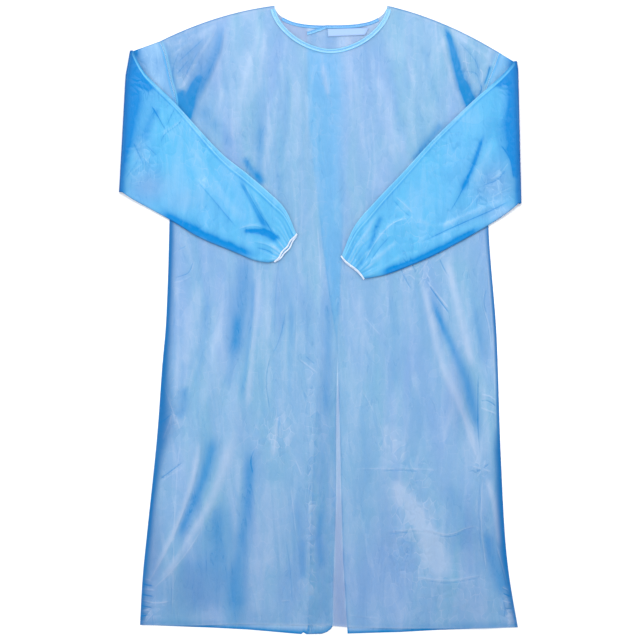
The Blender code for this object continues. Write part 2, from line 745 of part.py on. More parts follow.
def build_sleeve(name, sleeve):
    """One sleeve from the armhole, round the elbow fold, to the cuff."""
    rings = []
    fold_width = sum(math.dist(a, b) for a, b in zip(sleeve["fold"], sleeve["fold"][1:]))
    for step in range(UPPER_ARM_STEPS):
        share = step / UPPER_ARM_STEPS
        rings.append(ring_loops(fold_width,
                                lambda a, d: upper_arm_point(sleeve, share, a, d)))
    for step in range(BEND_STEPS + 1):
        turn = math.pi * step / BEND_STEPS
        rings.append(ring_loops(fold_width, lambda a, d: bend_point(sleeve, turn, a, d)))
    last = len(sleeve["stations"]) - 1
    for step in range(1, last * STEPS_PER_STATION + 1):
        place = step / STEPS_PER_STATION
        width = math.dist(station_curve(sleeve["stations"], place, 1),
                          station_curve(sleeve["stations"], place, 3))
        rings.append(ring_loops(width, lambda a, d: forearm_point(sleeve, place, a, d)))
    outer = [ring[0] for ring in rings]
    inner = [ring[1] for ring in rings]
    return tube_from_rings(name, outer, inner, SLEEVE_FILM)


def build_cuff(name, sleeve):
    """Elastic rim at the end of a sleeve."""
    last = len(sleeve["stations"]) - 1
    cuff = sleeve["stations"][-1]
    width = math.dist(cuff[1:3], cuff[3:5])
    rings = []
    for beyond in (SEAM_GAP, SEAM_GAP + CUFF_RIM / 2.0, SEAM_GAP + CUFF_RIM):
        rings.append(ring_loops(width,
                                lambda a, d: forearm_point(sleeve, last, a, d, beyond)))
    outer = [ring[0] for ring in rings]
    inner = [ring[1] for ring in rings]
    return tube_from_rings(name, outer, inner, ELASTIC)


def clear_scene():
    for existing in list(bpy.data.objects):
        bpy.data.objects.remove(existing, do_unlink=True)


def main():
    clear_scene()
    build_back_left()
    build_back_right()
    build_facing()
    build_front()
    build_bindings()
    build_tape()
    build_sleeve("sleeve_left", LEFT_SLEEVE)
    build_sleeve("sleeve_right", RIGHT_SLEEVE)
    build_cuff("cuff_elastic_left", LEFT_SLEEVE)
    build_cuff("cuff_elastic_right", RIGHT_SLEEVE)


main()
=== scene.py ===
"""Long-sleeved film apron, laid flat with both sleeves folded in over the front.

Lengths in the tables and functions are millimetres; meshes are written in metres. +X is
the right side as seen from above, +Y runs from the hem to the neck, and +Z is up out of
the front. Every film piece is one thin sheet inside the wall of its solid.
"""

import math

import bpy
import numpy as np
from bpy.props import FloatProperty, FloatVectorProperty, IntProperty, PointerProperty
from bpy.types import Operator, Panel, PropertyGroup
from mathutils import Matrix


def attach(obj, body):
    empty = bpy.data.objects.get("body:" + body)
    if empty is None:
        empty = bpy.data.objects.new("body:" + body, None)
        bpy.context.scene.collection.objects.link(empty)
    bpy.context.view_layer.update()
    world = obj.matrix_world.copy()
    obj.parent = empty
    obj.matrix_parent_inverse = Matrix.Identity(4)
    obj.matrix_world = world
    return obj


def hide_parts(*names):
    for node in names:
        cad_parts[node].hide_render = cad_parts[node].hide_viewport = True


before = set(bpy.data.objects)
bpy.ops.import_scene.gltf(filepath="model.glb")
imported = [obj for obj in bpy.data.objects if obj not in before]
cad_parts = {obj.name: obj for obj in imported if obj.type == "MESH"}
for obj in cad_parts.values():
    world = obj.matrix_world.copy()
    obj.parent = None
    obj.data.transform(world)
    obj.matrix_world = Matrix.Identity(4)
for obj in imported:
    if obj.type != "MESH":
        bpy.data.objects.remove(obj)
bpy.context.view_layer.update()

bl_info = {
    "name": "Film apron with long sleeves",
    "version": (1, 0, 0),
    "blender": (4, 5, 0),
    "location": "3D View > Sidebar > Film apron",
    "description": "Makes a long-sleeved film apron, laid flat on a pale floor",
    "category": "Add Mesh",
}

MM = 0.001
BODY = "root"

# Walls of the solids, and the clearance between them
WALL = 1.0
SEAM_GAP = 0.3
LAYER = WALL + SEAM_GAP
FILM_DEPTH = 0.45
BACK_REST = 0.35

# Neck: where the shoulder seams meet it, and how far front and back scoop
NECK_LEFT_X = -85.6
NECK_RIGHT_X = 125.5
NECK_MIDDLE_X = (NECK_LEFT_X + NECK_RIGHT_X) / 2.0
NECK_REACH = NECK_RIGHT_X - NECK_MIDDLE_X
NECK_Y = 589.0
FRONT_NECK = (81.5, 1.8, 0.6)
BACK_NECK = (37.0, 3.0, 0.55)
SHOULDER_BOW = 10.0
BINDING_WIDTH = 8.5
BACK_BINDING_WIDTH = 6.0

# Body edge from the shoulder tip down the armhole and the side to the hem corner
ARMHOLE_ROWS = [
    # left x, left y, right x, right y
    (-300.4, 522.2, 335.3, 501.0),
    (-291.0, 497.0, 326.0, 475.0),
    (-280.5, 450.0, 311.0, 434.0),
    (-270.0, 404.0, 303.5, 405.0),
    (-274.0, 340.0, 306.0, 330.0),
    (-281.6, 273.8, 312.8, 255.0),
]
SIDE_ROWS = [
    # left x, left y, right x, right y
    (-281.6, 273.8, 312.8, 255.0),
    (-283.3, 150.0, 316.5, 150.0),
    (-288.8, 0.0, 328.8, 0.0),
    (-296.4, -90.0, 333.0, -90.0),
    (-306.4, -225.0, 337.3, -225.0),
    (-323.6, -390.0, 345.4, -390.0),
    (-332.8, -482.0, 354.6, -482.0),
    (-337.9, -571.7, 370.5, -576.0),
]
SHOULDER_TIP_LEFT = ARMHOLE_ROWS[0][:2]
SHOULDER_TIP_RIGHT = ARMHOLE_ROWS[0][2:]
ARMPIT_Y = SIDE_ROWS[0][1]

FRONT_HEM = [(-337.9, -571.7), (-256.0, -572.6), (-150.4, -569.6), (18.0, -572.4),
             (47.6, -575.3), (149.6, -577.5), (307.5, -578.3), (370.5, -576.0)]
BACK_LEFT_HEM = [(-329.9, -571.9), (-198.8, -576.9), (-131.6, -580.5), (-35.6, -589.0),
                 (-31.7, -585.6), (-26.1, -589.0), (2.6, -588.2), (12.0, -585.0),
                 (16.1, -582.0), (20.0, -579.0), (22.7, -575.3)]
BACK_RIGHT_HEM = [(51.4, -587.8), (149.6, -585.0), (221.4, -581.0), (307.5, -578.3),
                  (362.5, -576.4)]
OPENING_ROWS = [
    # y, left panel's free edge x, right panel's free edge x
    (552.0, 50.0, -24.8),
    (375.0, 50.0, -22.0),
    (150.0, 42.0, 3.4),
    (50.0, 37.0, 16.5),
    (-43.0, 32.4, 31.5),
    (-206.0, 29.6, 37.1),
    (-337.0, 30.0, 39.8),
    (-450.0, 26.0, 43.0),
    (-589.0, 22.7, 51.4),
]
FACING_ROWS = [
    # y, inner edge x
    (-60.0, -0.5),
    (-206.0, -9.8),
    (-400.0, -17.8),
    (-586.0, -23.5),
]

# Heights of the front over the back, and of the right back panel over the left one
FRONT_LOFT = 1.9
LOFT_FROM_SIDE = 90.0
LOFT_FROM_TOP = 60.0
BACK_SIDE_INSET = 8.0
SIDE_PULL = 5.0
ROLL_START = 110.0
ROLL_FADE = 80.0
ROLL_WIDTH = 5.0
LAP_CLEAR = 18.0
LAP_RAMP = 16.0
LAP_END_Y = -270.0
LAP_FADE = 150.0
BINDING_LIFT_Y = 515.0
BINDING_LIFT_RAMP = 20.0
CORNER_DROOP = 14.0
CORNER_DROOP_X = 10.7
CORNER_DROOP_RUN = 35.5
FOLD_CLEAR_SIDE = 30.0
FOLD_CLEAR_TOP = 40.0
FOLD_CLEAR_NECK = 25.0

# Largest folds of the front, which its solid has too
FRONT_FOLDS = [
    # height, half width, points
    (2.6, 19.0, [(-182, 553), (-205, 501), (-229, 452), (-250, 399)]),
    (2.6, 19.0, [(232, 551), (245, 521), (255, 467), (275, 425)]),
    (1.6, 22.0, [(-100, 540), (-131, 453), (-138, 380)]),
    (1.6, 22.0, [(106, 456), (123, 358), (146, 300)]),
    (1.2, 20.0, [(5, 476), (18, 410)]),
    (3.4, 21.0, [(-169, 19), (-197, -94), (-231, -244), (-256, -347), (-294, -440)]),
    (3.8, 23.0, [(-90, 75), (-132, -112), (-171, -206), (-196, -307), (-216, -362),
                 (-274, -460)]),
    (2.2, 22.0, [(-122, -328), (-146, -562)]),
    (2.6, 24.0, [(-230, -440), (-214, -580)]),
    (3.6, 22.0, [(200, 54), (210, -26), (239, -101), (263, -173), (275, -231)]),
    (3.0, 20.0, [(234, 60), (253, 35), (275, -27), (292, -101), (290, -215)]),
    (2.8, 21.0, [(292, -285), (292, -382), (303, -477), (318, -560)]),
    (1.8, 20.0, [(114, -281), (190, -287)]),
    (2.0, 20.0, [(93, -399), (189, -397), (277, -391)]),
    (1.8, 20.0, [(194, -482), (247, -488), (307, -479)]),
    (2.2, 22.0, [(-48, 30), (-62, -140), (-66, -330)]),
    (2.0, 22.0, [(96, 20), (104, -110), (92, -230)]),
    (2.4, 26.0, [(150, -420), (168, -585)]),
]

# Finer creases of the front, listed one by one. Tone above 0 is paler: painted highlight, and film
# lifting off the layers below; under 0 it is deeper: painted shade, and film gathering in layers.
# Lean above 0 makes the side to the left of the line's run crisp, and under 0 the side to its
# right.
FRONT_CREASES = [
    # rise, half width at start, at end, lean, tone, points
    # left shoulder
    (0.9, 9, 30, 0.75, -0.46, [(-178, 566), (-191, 508), (-212, 458), (-236, 410),
                              (-256, 372), (-274, 335)]),
    (0.4, 5, 12, 0.4, -1.10, [(-222, 462), (-240, 426), (-247, 396), (-252, 366)]),
    (0.3, 7, 9, 0.0, -0.55, [(-258, 436), (-264, 416), (-268, 396)]),
    (-0.3, 14, 15, 0.0, -0.24, [(-224, 405), (-194, 364), (-158, 322)]),
    (0.3, 2, 4, 0.0, 0.30, [(-196, 540), (-224, 500), (-246, 460), (-268, 418)]),
    (-0.4, 3, 5, 0.0, 0.20, [(-174, 556), (-184, 497), (-204, 448), (-232, 392)]),
    (0.3, 34, 34, 0.0, -0.13, [(-238, 540), (-262, 450)]),
    (0.4, 2, 2, 0.0, -0.22, [(-246, 488), (-270, 459)]),
    (0.3, 5, 4, 0.0, 0.20, [(-205, 545), (-262, 505), (-284, 492)]),
    (0.3, 2, 2, 0.0, -0.20, [(-215, 530), (-270, 480)]),
    (0.3, 2, 2, 0.0, -0.18, [(-228, 505), (-262, 440)]),
    (0.3, 4, 4, 0.0, 0.16, [(-190, 556), (-240, 530), (-290, 512)]),
    (-0.3, 2, 2, 0.0, -0.20, [(-262, 508), (-276, 470), (-272, 430)]),
    # right shoulder
    (0.8, 6, 14, -0.3, -0.85, [(232, 566), (246, 510), (258, 464), (276, 418),
                             (290, 388), (300, 356)]),
    (0.4, 5, 12, 0.0, -0.90, [(262, 450), (276, 420), (286, 396), (294, 366)]),
    (-0.4, 2, 3, 0.0, -0.50, [(308, 440), (314, 458), (318, 476)]),
    (-0.4, 2, 2, 0.0, -0.40, [(296, 416), (302, 432), (300, 444)]),
    (-0.3, 5, 6, 0.0, -0.30, [(322, 480), (318, 460), (306, 436)]),
    (0.3, 3, 5, 0.0, 0.26, [(226, 545), (236, 492), (249, 440), (262, 400)]),
    (0.3, 4, 6, 0.0, 0.20, [(238, 552), (262, 515), (276, 468), (300, 424)]),
    (0.3, 5, 5, 0.0, 0.22, [(236, 553), (296, 505), (322, 487)]),
    (0.3, 2, 2, 0.0, -0.20, [(250, 530), (288, 490), (300, 458)]),
    (-0.3, 3, 3, 0.0, -0.22, [(270, 466), (292, 462), (300, 440)]),
    (0.3, 2, 2, 0.0, 0.24, [(296, 474), (304, 462), (302, 440)]),
    (0.3, 34, 30, 0.0, -0.10, [(268, 525), (296, 452)]),
    # chest
    (0.8, 8, 13, 0.0, 0.28, [(-106, 560), (-126, 500), (-150, 410), (-170, 320)]),
    (0.4, 5, 7, 0.0, 0.24, [(-99, 558), (-108, 500), (-116, 450), (-140, 390)]),
    (-0.5, 7, 9, 0.0, -0.24, [(-110, 370), (-112, 320), (-116, 250)]),
    (-0.3, 14, 16, 0.0, -0.10, [(-122, 440), (-120, 360), (-126, 300)]),
    (-0.4, 6, 11, 0.0, -0.60, [(-146, 308), (-128, 280), (-104, 250)]),
    (0.5, 4, 6, 0.0, 0.24, [(-78, 440), (-87, 375), (-95, 313)]),
    (0.4, 4, 6, 0.0, 0.22, [(-95, 420), (-98, 360), (-100, 280)]),
    (-0.4, 6, 8, 0.0, -0.14, [(-58, 470), (-64, 400), (-74, 300), (-78, 200)]),
    (0.4, 8, 10, 0.0, 0.10, [(-40, 470), (-44, 360), (-48, 240)]),
    (0.5, 4, 4, 0.0, 0.34, [(5, 484), (9, 450), (17, 416)]),
    (-0.3, 3, 3, 0.0, -0.18, [(16, 486), (20, 430)]),
    (0.6, 10, 14, 0.0, 0.26, [(104, 470), (118, 420), (130, 350), (146, 290)]),
    (0.3, 6, 6, 0.0, 0.20, [(128, 330), (138, 308), (142, 290)]),
    (-0.4, 7, 9, 0.0, -0.13, [(128, 500), (142, 400), (165, 310)]),
    (0.4, 5, 5, 0.0, 0.14, [(60, 480), (74, 400), (84, 300)]),
    (0.4, 6, 10, 0.0, 0.18, [(166, 500), (182, 430), (206, 376)]),
    (-0.4, 6, 8, 0.0, -0.16, [(190, 520), (206, 450), (226, 392)]),
    (-0.5, 8, 8, 0.0, -0.45, [(232, 374), (200, 330), (168, 292)]),
    (0.4, 4, 6, 0.0, 0.16, [(-180, 430), (-196, 390), (-206, 366)]),
    (0.4, 5, 6, 0.0, 0.12, [(-20, 440), (-26, 360), (-24, 250)]),
    # left side, from the sleeve down
    (0.5, 12, 12, 0.0, 0.30, [(-230, 72), (-240, 10), (-249, -40), (-258, -94)]),
    (-0.4, 6, 6, 0.0, -0.14, [(-211, 60), (-221, -56), (-244, -159)]),
    (0.7, 15, 15, 0.0, 0.26, [(-182, 110), (-188, 5), (-206, -100), (-226, -190)]),
    (-0.7, 17, 12, 0.0, -0.32, [(-141, 130), (-145, 60), (-152, -30), (-158, -80)]),
    (-0.4, 9, 8, 0.0, -0.20, [(-156, 20), (-164, -60), (-178, -140)]),
    (-0.4, 5, 5, 0.4, -0.30, [(-125, 90), (-127, 0), (-138, -94), (-150, -159)]),
    (0.5, 5, 5, 0.0, 0.42, [(-115, 110), (-118, 28), (-127, -56), (-133, -120), (-140, -190)]),
    (0.5, 5, 5, 0.0, 0.30, [(-98, 110), (-97, 28), (-99, -50), (-97, -120), (-98, -175)]),
    (0.4, 7, 5, 0.0, 0.18, [(-106, 80), (-108, 0), (-112, -90)]),
    (-0.3, 1, 2, 0.0, -0.40, [(-92, -60), (-101, -113), (-94, -172)]),
    (-0.4, 2, 2, 0.0, -0.26, [(-64, 20), (-72, -20), (-82, -50), (-92, -66)]),
    (-0.3, 2, 2, 0.0, -0.16, [(-80, 100), (-84, 30), (-86, -40)]),
    (0.3, 3, 4, 0.0, 0.16, [(-60, 60), (-64, -30), (-70, -120), (-68, -200)]),
    (-0.3, 4, 4, 0.0, -0.12, [(-52, 50), (-56, -50), (-58, -160)]),
    (0.3, 2, 3, 0.0, 0.16, [(-40, 90), (-44, 0), (-46, -90)]),
    (0.4, 2, 2, 0.0, 0.30, [(-40, -72), (-22, -86), (-4, -100)]),
    (-0.3, 3, 2, 0.0, -0.24, [(-30, -66), (-8, -84)]),
    (0.6, 3, 3, 0.0, 0.34, [(-296, -108), (-283, -152), (-276, -171), (-270, -200)]),
    (0.4, 4, 4, 0.0, 0.26, [(-266, 100), (-267, 0), (-268, -90), (-275, -168)]),
    (0.5, 3, 2, 0.0, -0.40, [(-306, -196), (-290, -186), (-276, -173)]),
    (0.5, 2, 3, 0.0, 0.40, [(-276, -171), (-284, -196), (-296, -226)]),
    (0.4, 2, 2, 0.0, 0.30, [(-276, -171), (-270, -186), (-262, -206)]),
    (-0.4, 9, 10, 0.0, -0.36, [(-256, -120), (-254, -150), (-266, -190)]),
    (-0.4, 1, 1, 0.0, -0.50, [(-303, -300), (-284, -286), (-256, -265)]),
    (0.3, 2, 2, 0.0, 0.20, [(-300, -304), (-276, -288), (-254, -275)]),
    (-0.4, 1, 1, 0.0, -0.34, [(-274, 79), (-262, 82), (-246, 90), (-237, 112)]),
    (0.3, 2, 2, 0.0, 0.20, [(-276, 70), (-258, 74), (-240, 84)]),
    (-0.3, 1, 1, 0.0, -0.20, [(-268, 130), (-250, 140)]),
    (-0.4, 5, 5, 0.0, -0.16, [(-273, 60), (-271, -20), (-272, -100)]),
    # left side, the two long ridges
    (0.8, 6, 4, 0.4, 0.64, [(-224, -215), (-239, -300), (-267, -380), (-296, -441),
                            (-322, -489)]),
    (0.9, 15, 5, -0.4, 0.62, [(-158, -196), (-178, -262), (-207, -342), (-239, -398),
                              (-277, -459), (-318, -501)]),
    (-1.0, 12, 9, 0.0, -0.46, [(-196, -205), (-208, -262), (-224, -310), (-249, -370),
                               (-270, -418)]),
    (0.4, 10, 8, 0.0, 0.06, [(-244, -200), (-258, -290), (-272, -370), (-292, -420)]),
    (0.3, 2, 2, 0.0, 0.24, [(-262, -225), (-268, -290), (-270, -330)]),
    (0.5, 1, 1, 0.0, 0.34, [(-270, -310), (-274, -400), (-275, -459), (-278, -572)]),
    (-0.5, 24, 26, 0.0, -0.34, [(-190, -330), (-196, -420), (-210, -560)]),
    (-0.4, 20, 20, 0.0, -0.16, [(-236, -440), (-240, -560)]),
    (0.3, 6, 5, 0.0, 0.16, [(-316, -330), (-312, -420), (-318, -460)]),
    (0.4, 8, 7, 0.0, 0.20, [(-150, -234), (-160, -394), (-169, -487)]),
    (-0.9, 16, 22, 0.3, -0.47, [(-128, -222), (-137, -347), (-150, -441), (-156, -590)]),
    (0.6, 20, 24, 0.0, 0.26, [(-92, -290), (-94, -380), (-100, -480)]),
    (0.3, 12, 16, 0.0, 0.16, [(-118, -440), (-124, -560)]),
    (-0.4, 10, 14, 0.0, -0.10, [(-44, -330), (-46, -430), (-56, -560)]),
    (-0.4, 6, 7, 0.0, -0.22, [(-33, -404), (-33, -450), (-31, -490)]),
    (0.4, 3, 3, 0.0, 0.22, [(-56, -300), (-46, -390), (-34, -440)]),
    (-0.3, 2, 2, 0.0, -0.20, [(-66, -400), (-56, -470), (-52, -540)]),
    (0.4, 2, 2, 0.0, 0.24, [(-74, -526), (-56, -525)]),
    (-0.3, 1, 1, 0.0, -0.30, [(-122, -240), (-130, -262), (-126, -290)]),
    (0.4, 3, 3, 0.0, 0.28, [(-80, -170), (-84, -220), (-88, -262)]),
    (0.4, 4, 4, 0.0, 0.20, [(-70, -176), (-62, -215), (-66, -250)]),
    (-0.3, 2, 2, 0.0, -0.24, [(-76, -172), (-80, -240)]),
    (0.4, 2, 2, 0.0, 0.34, [(-47, -260), (-38, -282), (-34, -292)]),
    (0.3, 2, 2, 0.0, 0.22, [(-100, -180), (-94, -230)]),
    (0.4, 2, 3, 0.0, 0.42, [(-250, -340), (-278, -410), (-306, -464), (-326, -498)]),
    (0.4, 2, 3, 0.0, 0.42, [(-222, -392), (-252, -438), (-286, -478), (-318, -508)]),
    # left hem corner, gathered
    (0.5, 2, 2, 0.0, 0.55, [(-335, -484), (-316, -488)]),
    (-0.4, 2, 2, 0.0, -0.75, [(-336, -494), (-312, -499)]),
    (0.5, 2, 2, 0.0, 0.55, [(-337, -504), (-308, -506)]),
    (-0.4, 2, 2, 0.0, -0.75, [(-337, -514), (-312, -518)]),
    (0.5, 2, 2, 0.0, 0.55, [(-338, -524), (-306, -530), (-280, -526)]),
    (-0.4, 2, 2, 0.0, -0.75, [(-338, -535), (-314, -539)]),
    (0.5, 2, 2, 0.0, 0.60, [(-338, -545), (-318, -543)]),
    (-0.4, 2, 2, 0.0, -0.65, [(-338, -556), (-320, -552)]),
    # right side, from the sleeve down
    (0.8, 7, 10, -0.3, 0.62, [(182, 98), (196, 50), (206, 5), (229, -89), (262, -159),
                             (286, -225), (300, -274)]),
    (-0.9, 5, 17, -0.2, -0.52, [(206, 60), (216, 20), (243, -42), (272, -112), (284, -176),
                                (293, -235)]),
    (0.4, 2, 3, 0.0, 0.34, [(250, -130), (266, -176), (282, -224), (297, -268)]),
    (0.8, 10, 8, -0.5, 0.58, [(234, 122), (245, 78), (257, 28), (276, -56), (293, -102)]),
    (-0.4, 9, 5, 0.0, -0.20, [(268, 110), (284, 40), (300, -40), (308, -90)]),
    (0.5, 6, 8, 0.4, 0.30, [(303, -104), (308, -159), (312, -215), (306, -268)]),
    (-0.3, 1, 1, 0.0, -0.45, [(296, -98), (295, -150), (296, -210), (300, -262)]),
    (0.4, 2, 2, 0.0, 0.26, [(308, 70), (306, 30), (316, -10), (322, -60)]),
    (-0.4, 1, 1, 0.0, -0.34, [(312, 60), (307, 34), (312, 10)]),
    (0.4, 2, 1, 0.0, 0.34, [(300, -139), (316, -142), (330, -151)]),
    (-0.4, 1, 1, 0.0, -0.45, [(299, -151), (316, -152), (331, -163)]),
    (0.4, 2, 1, 0.0, 0.34, [(298, -163), (316, -170), (331, -176)]),
    (0.5, 2, 2, 0.0, 0.42, [(198, 76), (219, 49), (244, 18)]),
    (-0.5, 1, 1, 0.0, -0.50, [(200, 70), (219, 43), (243, 11)]),
    (0.4, 2, 2, 0.0, 0.40, [(282, -272), (303, -279), (322, -284)]),
    (-0.4, 1, 1, 0.0, -0.50, [(286, -288), (303, -279), (318, -268)]),
    (0.4, 2, 2, 0.0, 0.40, [(292, -296), (303, -279), (310, -262)]),
    (-0.4, 1, 1, 0.0, -0.36, [(276, -284), (303, -279)]),
    (0.7, 6, 10, -0.6, 0.62, [(307, -284), (318, -320), (328, -361), (338, -431)]),
    (0.5, 2, 2, 0.0, 0.40, [(304, -288), (302, -340), (302, -389), (309, -450), (314, -480)]),
    (-0.3, 1, 2, 0.0, -0.24, [(299, -300), (297, -380), (304, -445)]),
    (-0.5, 10, 13, 0.0, -0.40, [(309, -388), (324, -450), (336, -492), (348, -520)]),
    (0.4, 2, 3, 0.0, 0.32, [(330, -420), (344, -470), (356, -520)]),
    (0.5, 2, 2, 0.0, 0.34, [(346, -512), (352, -530), (350, -550)]),
    (-0.4, 2, 2, 0.0, -0.40, [(340, -516), (346, -540), (344, -562)]),
    (0.5, 2, 2, 0.0, 0.36, [(358, -530), (360, -556), (364, -572)]),
    (0.5, 2, 2, 0.0, 0.60, [(340, -500), (353, -506)]),
    (-0.4, 2, 2, 0.0, -0.60, [(342, -512), (356, -518)]),
    (0.5, 2, 2, 0.0, 0.60, [(342, -526), (359, -530)]),
    (-0.4, 2, 2, 0.0, -0.60, [(346, -540), (362, -542)]),
    (0.5, 2, 3, 0.0, 0.70, [(344, -556), (366, -552)]),
    (0.5, 2, 3, 0.0, 0.60, [(350, -572), (360, -562), (368, -570)]),
    (0.3, 24, 20, 0.0, 0.18, [(256, -536), (312, -544)]),
    # creases from packing
    (-0.4, 2, 2, 0.0, -0.32, [(112, -283), (146, -281), (187, -284)]),
    (0.4, 2, 2, 0.0, 0.24, [(60, -279), (118, -278), (190, -279), (230, -282)]),
    (0.5, 2, 2, 0.0, 0.38, [(117, -396), (160, -393), (192, -391), (239, -401), (281, -387),
                            (302, -391)]),
    (-0.4, 1, 1, 0.0, -0.36, [(120, -401), (192, -396), (239, -406), (279, -392)]),
    (0.5, 2, 2, 0.0, 0.36, [(170, -481), (192, -483), (243, -487), (280, -481), (309, -476)]),
    (-0.4, 1, 1, 0.0, -0.32, [(196, -488), (243, -492), (300, -482)]),
    (0.3, 2, 2, 0.0, 0.16, [(50, -552), (84, -556), (110, -558)]),
    (0.3, 17, 24, 0.3, 0.90, [(128, -296), (160, -332), (196, -390), (222, -450),
                              (244, -486)]),
    (0.3, 14, 14, 0.0, 0.26, [(124, -190), (132, -230), (138, -272)]),
    (0.4, 4, 4, 0.0, 0.20, [(166, -160), (160, -220), (152, -272)]),
    (0.3, 3, 3, 0.0, 0.16, [(110, -190), (124, -240)]),
    (-0.4, 20, 26, 0.0, -0.16, [(232, -300), (258, -370), (270, -440)]),
    (-0.3, 20, 26, 0.0, -0.12, [(90, -330), (110, -420), (140, -520)]),
    # middle right
    (0.4, 8, 10, 0.0, 0.18, [(160, 80), (166, 0), (176, -90), (190, -160)]),
    (-0.4, 10, 12, 0.0, -0.14, [(132, 60), (138, -40), (146, -140)]),
    (0.3, 3, 3, 0.0, 0.24, [(80, 8), (98, -12), (114, -30)]),
    (0.3, 2, 2, 0.0, 0.18, [(78, -131), (92, -155), (103, -178)]),
    (0.4, 6, 8, 0.0, 0.14, [(70, 70), (76, 0), (80, -80), (74, -160)]),
    (0.5, 2, 3, 0.0, 0.36, [(150, 66), (158, 92), (176, 96), (190, 104)]),
    (0.5, 3, 2, 0.0, 0.40, [(183, 84), (194, 100), (202, 112)]),
    (0.5, 2, 2, 0.0, 0.38, [(214, 108), (226, 118), (236, 127)]),
    (0.4, 2, 2, 0.0, 0.32, [(196, 92), (206, 72), (200, 50)]),
    (-0.4, 1, 2, 0.0, -0.40, [(222, 118), (232, 96), (244, 76)]),
    (-0.4, 2, 2, 0.0, -0.34, [(150, 98), (160, 76), (172, 56)]),
    (-0.4, 2, 2, 0.0, -0.34, [(168, 112), (180, 88)]),
    (0.3, 2, 2, 0.0, 0.28, [(156, 82), (168, 84), (180, 74)]),
    # beside the turned-in strip
    (-0.4, 8, 8, 0.0, -0.30, [(12, 60), (14, -60), (10, -190)]),
    (-0.3, 6, 6, 0.0, -0.25, [(4, -350), (-3, -408), (4, -470)]),
    (0.3, 2, 2, 0.0, 0.34, [(-6, 180), (-1, 120), (1, 70)]),
]

# Fine crumpling by place: reach along x and y, and strength
CRUMPLE_PATCHES = [
    # x, y, reach x, reach y, strength
    (178.0, -395.0, 55.0, 120.0, 1.0),
    (-18.0, -330.0, 9.0, 260.0, 1.0),
    (-84.0, -215.0, 40.0, 60.0, 0.9),
    (188.0, 84.0, 46.0, 30.0, 0.8),
    (138.0, -240.0, 30.0, 45.0, 0.7),
    (-326.0, -548.0, 30.0, 32.0, 1.0),
    (355.0, -540.0, 26.0, 46.0, 1.0),
    (-250.0, 470.0, 45.0, 60.0, 0.5),
    (280.0, 470.0, 40.0, 60.0, 0.5),
    (-270.0, -180.0, 22.0, 60.0, 0.6),
    (300.0, -285.0, 18.0, 35.0, 0.8),
    (16.0, 518.0, 24.0, 12.0, 0.6),
    (250.0, -520.0, 110.0, 60.0, 0.6),
]
CRUMPLE_EVERYWHERE = 0.20

# Creases this narrow or less are drawn sharp, as a line of painted highlight with a strip of
# painted shadow beside it: their gain, and how far they act
SHARP_WIDTH = 3
SHARP_GAIN = 1.3
LINE_REACH = 4.0

# Bands where the film turns under at the sides and shows its depth
EDGE_BAND_ROWS = [
    # y, left width, right width, left strength, right strength
    (255.0, 10.0, 5.0, 0.95, 0.90),
    (150.0, 10.5, 6.0, 1.00, 0.95),
    (0.0, 12.0, 7.0, 1.00, 1.00),
    (-120.0, 17.0, 5.5, 1.00, 0.95),
    (-200.0, 27.0, 8.0, 0.95, 0.95),
    (-245.0, 18.0, 13.0, 0.95, 1.00),
    (-330.0, 11.0, 15.0, 1.00, 1.00),
    (-450.0, 10.0, 15.0, 0.95, 1.00),
    (-540.0, 11.0, 11.0, 0.90, 0.90),
    (-578.0, 11.0, 9.0, 0.90, 0.90),
]

# Broad greyer areas of the front: reach along x and y, and strength
GREY_PATCHES = [
    # x, y, reach x, reach y, strength
    (0.0, -480.0, 420.0, 200.0, 0.20),
    (-250.0, -510.0, 80.0, 80.0, 0.50),
    (-316.0, -440.0, 26.0, 120.0, 0.62),
    (-110.0, -560.0, 90.0, 40.0, 0.26),
    (260.0, -540.0, 120.0, 60.0, 0.34),
    (290.0, -420.0, 60.0, 90.0, 0.36),
    (120.0, -420.0, 40.0, 160.0, 0.26),
    (-240.0, 480.0, 50.0, 60.0, 0.30),
    (-300.0, -180.0, 30.0, 60.0, 0.25),
    (262.0, -150.0, 26.0, 70.0, 0.30),
    (-150.0, 330.0, 40.0, 60.0, 0.12),
]

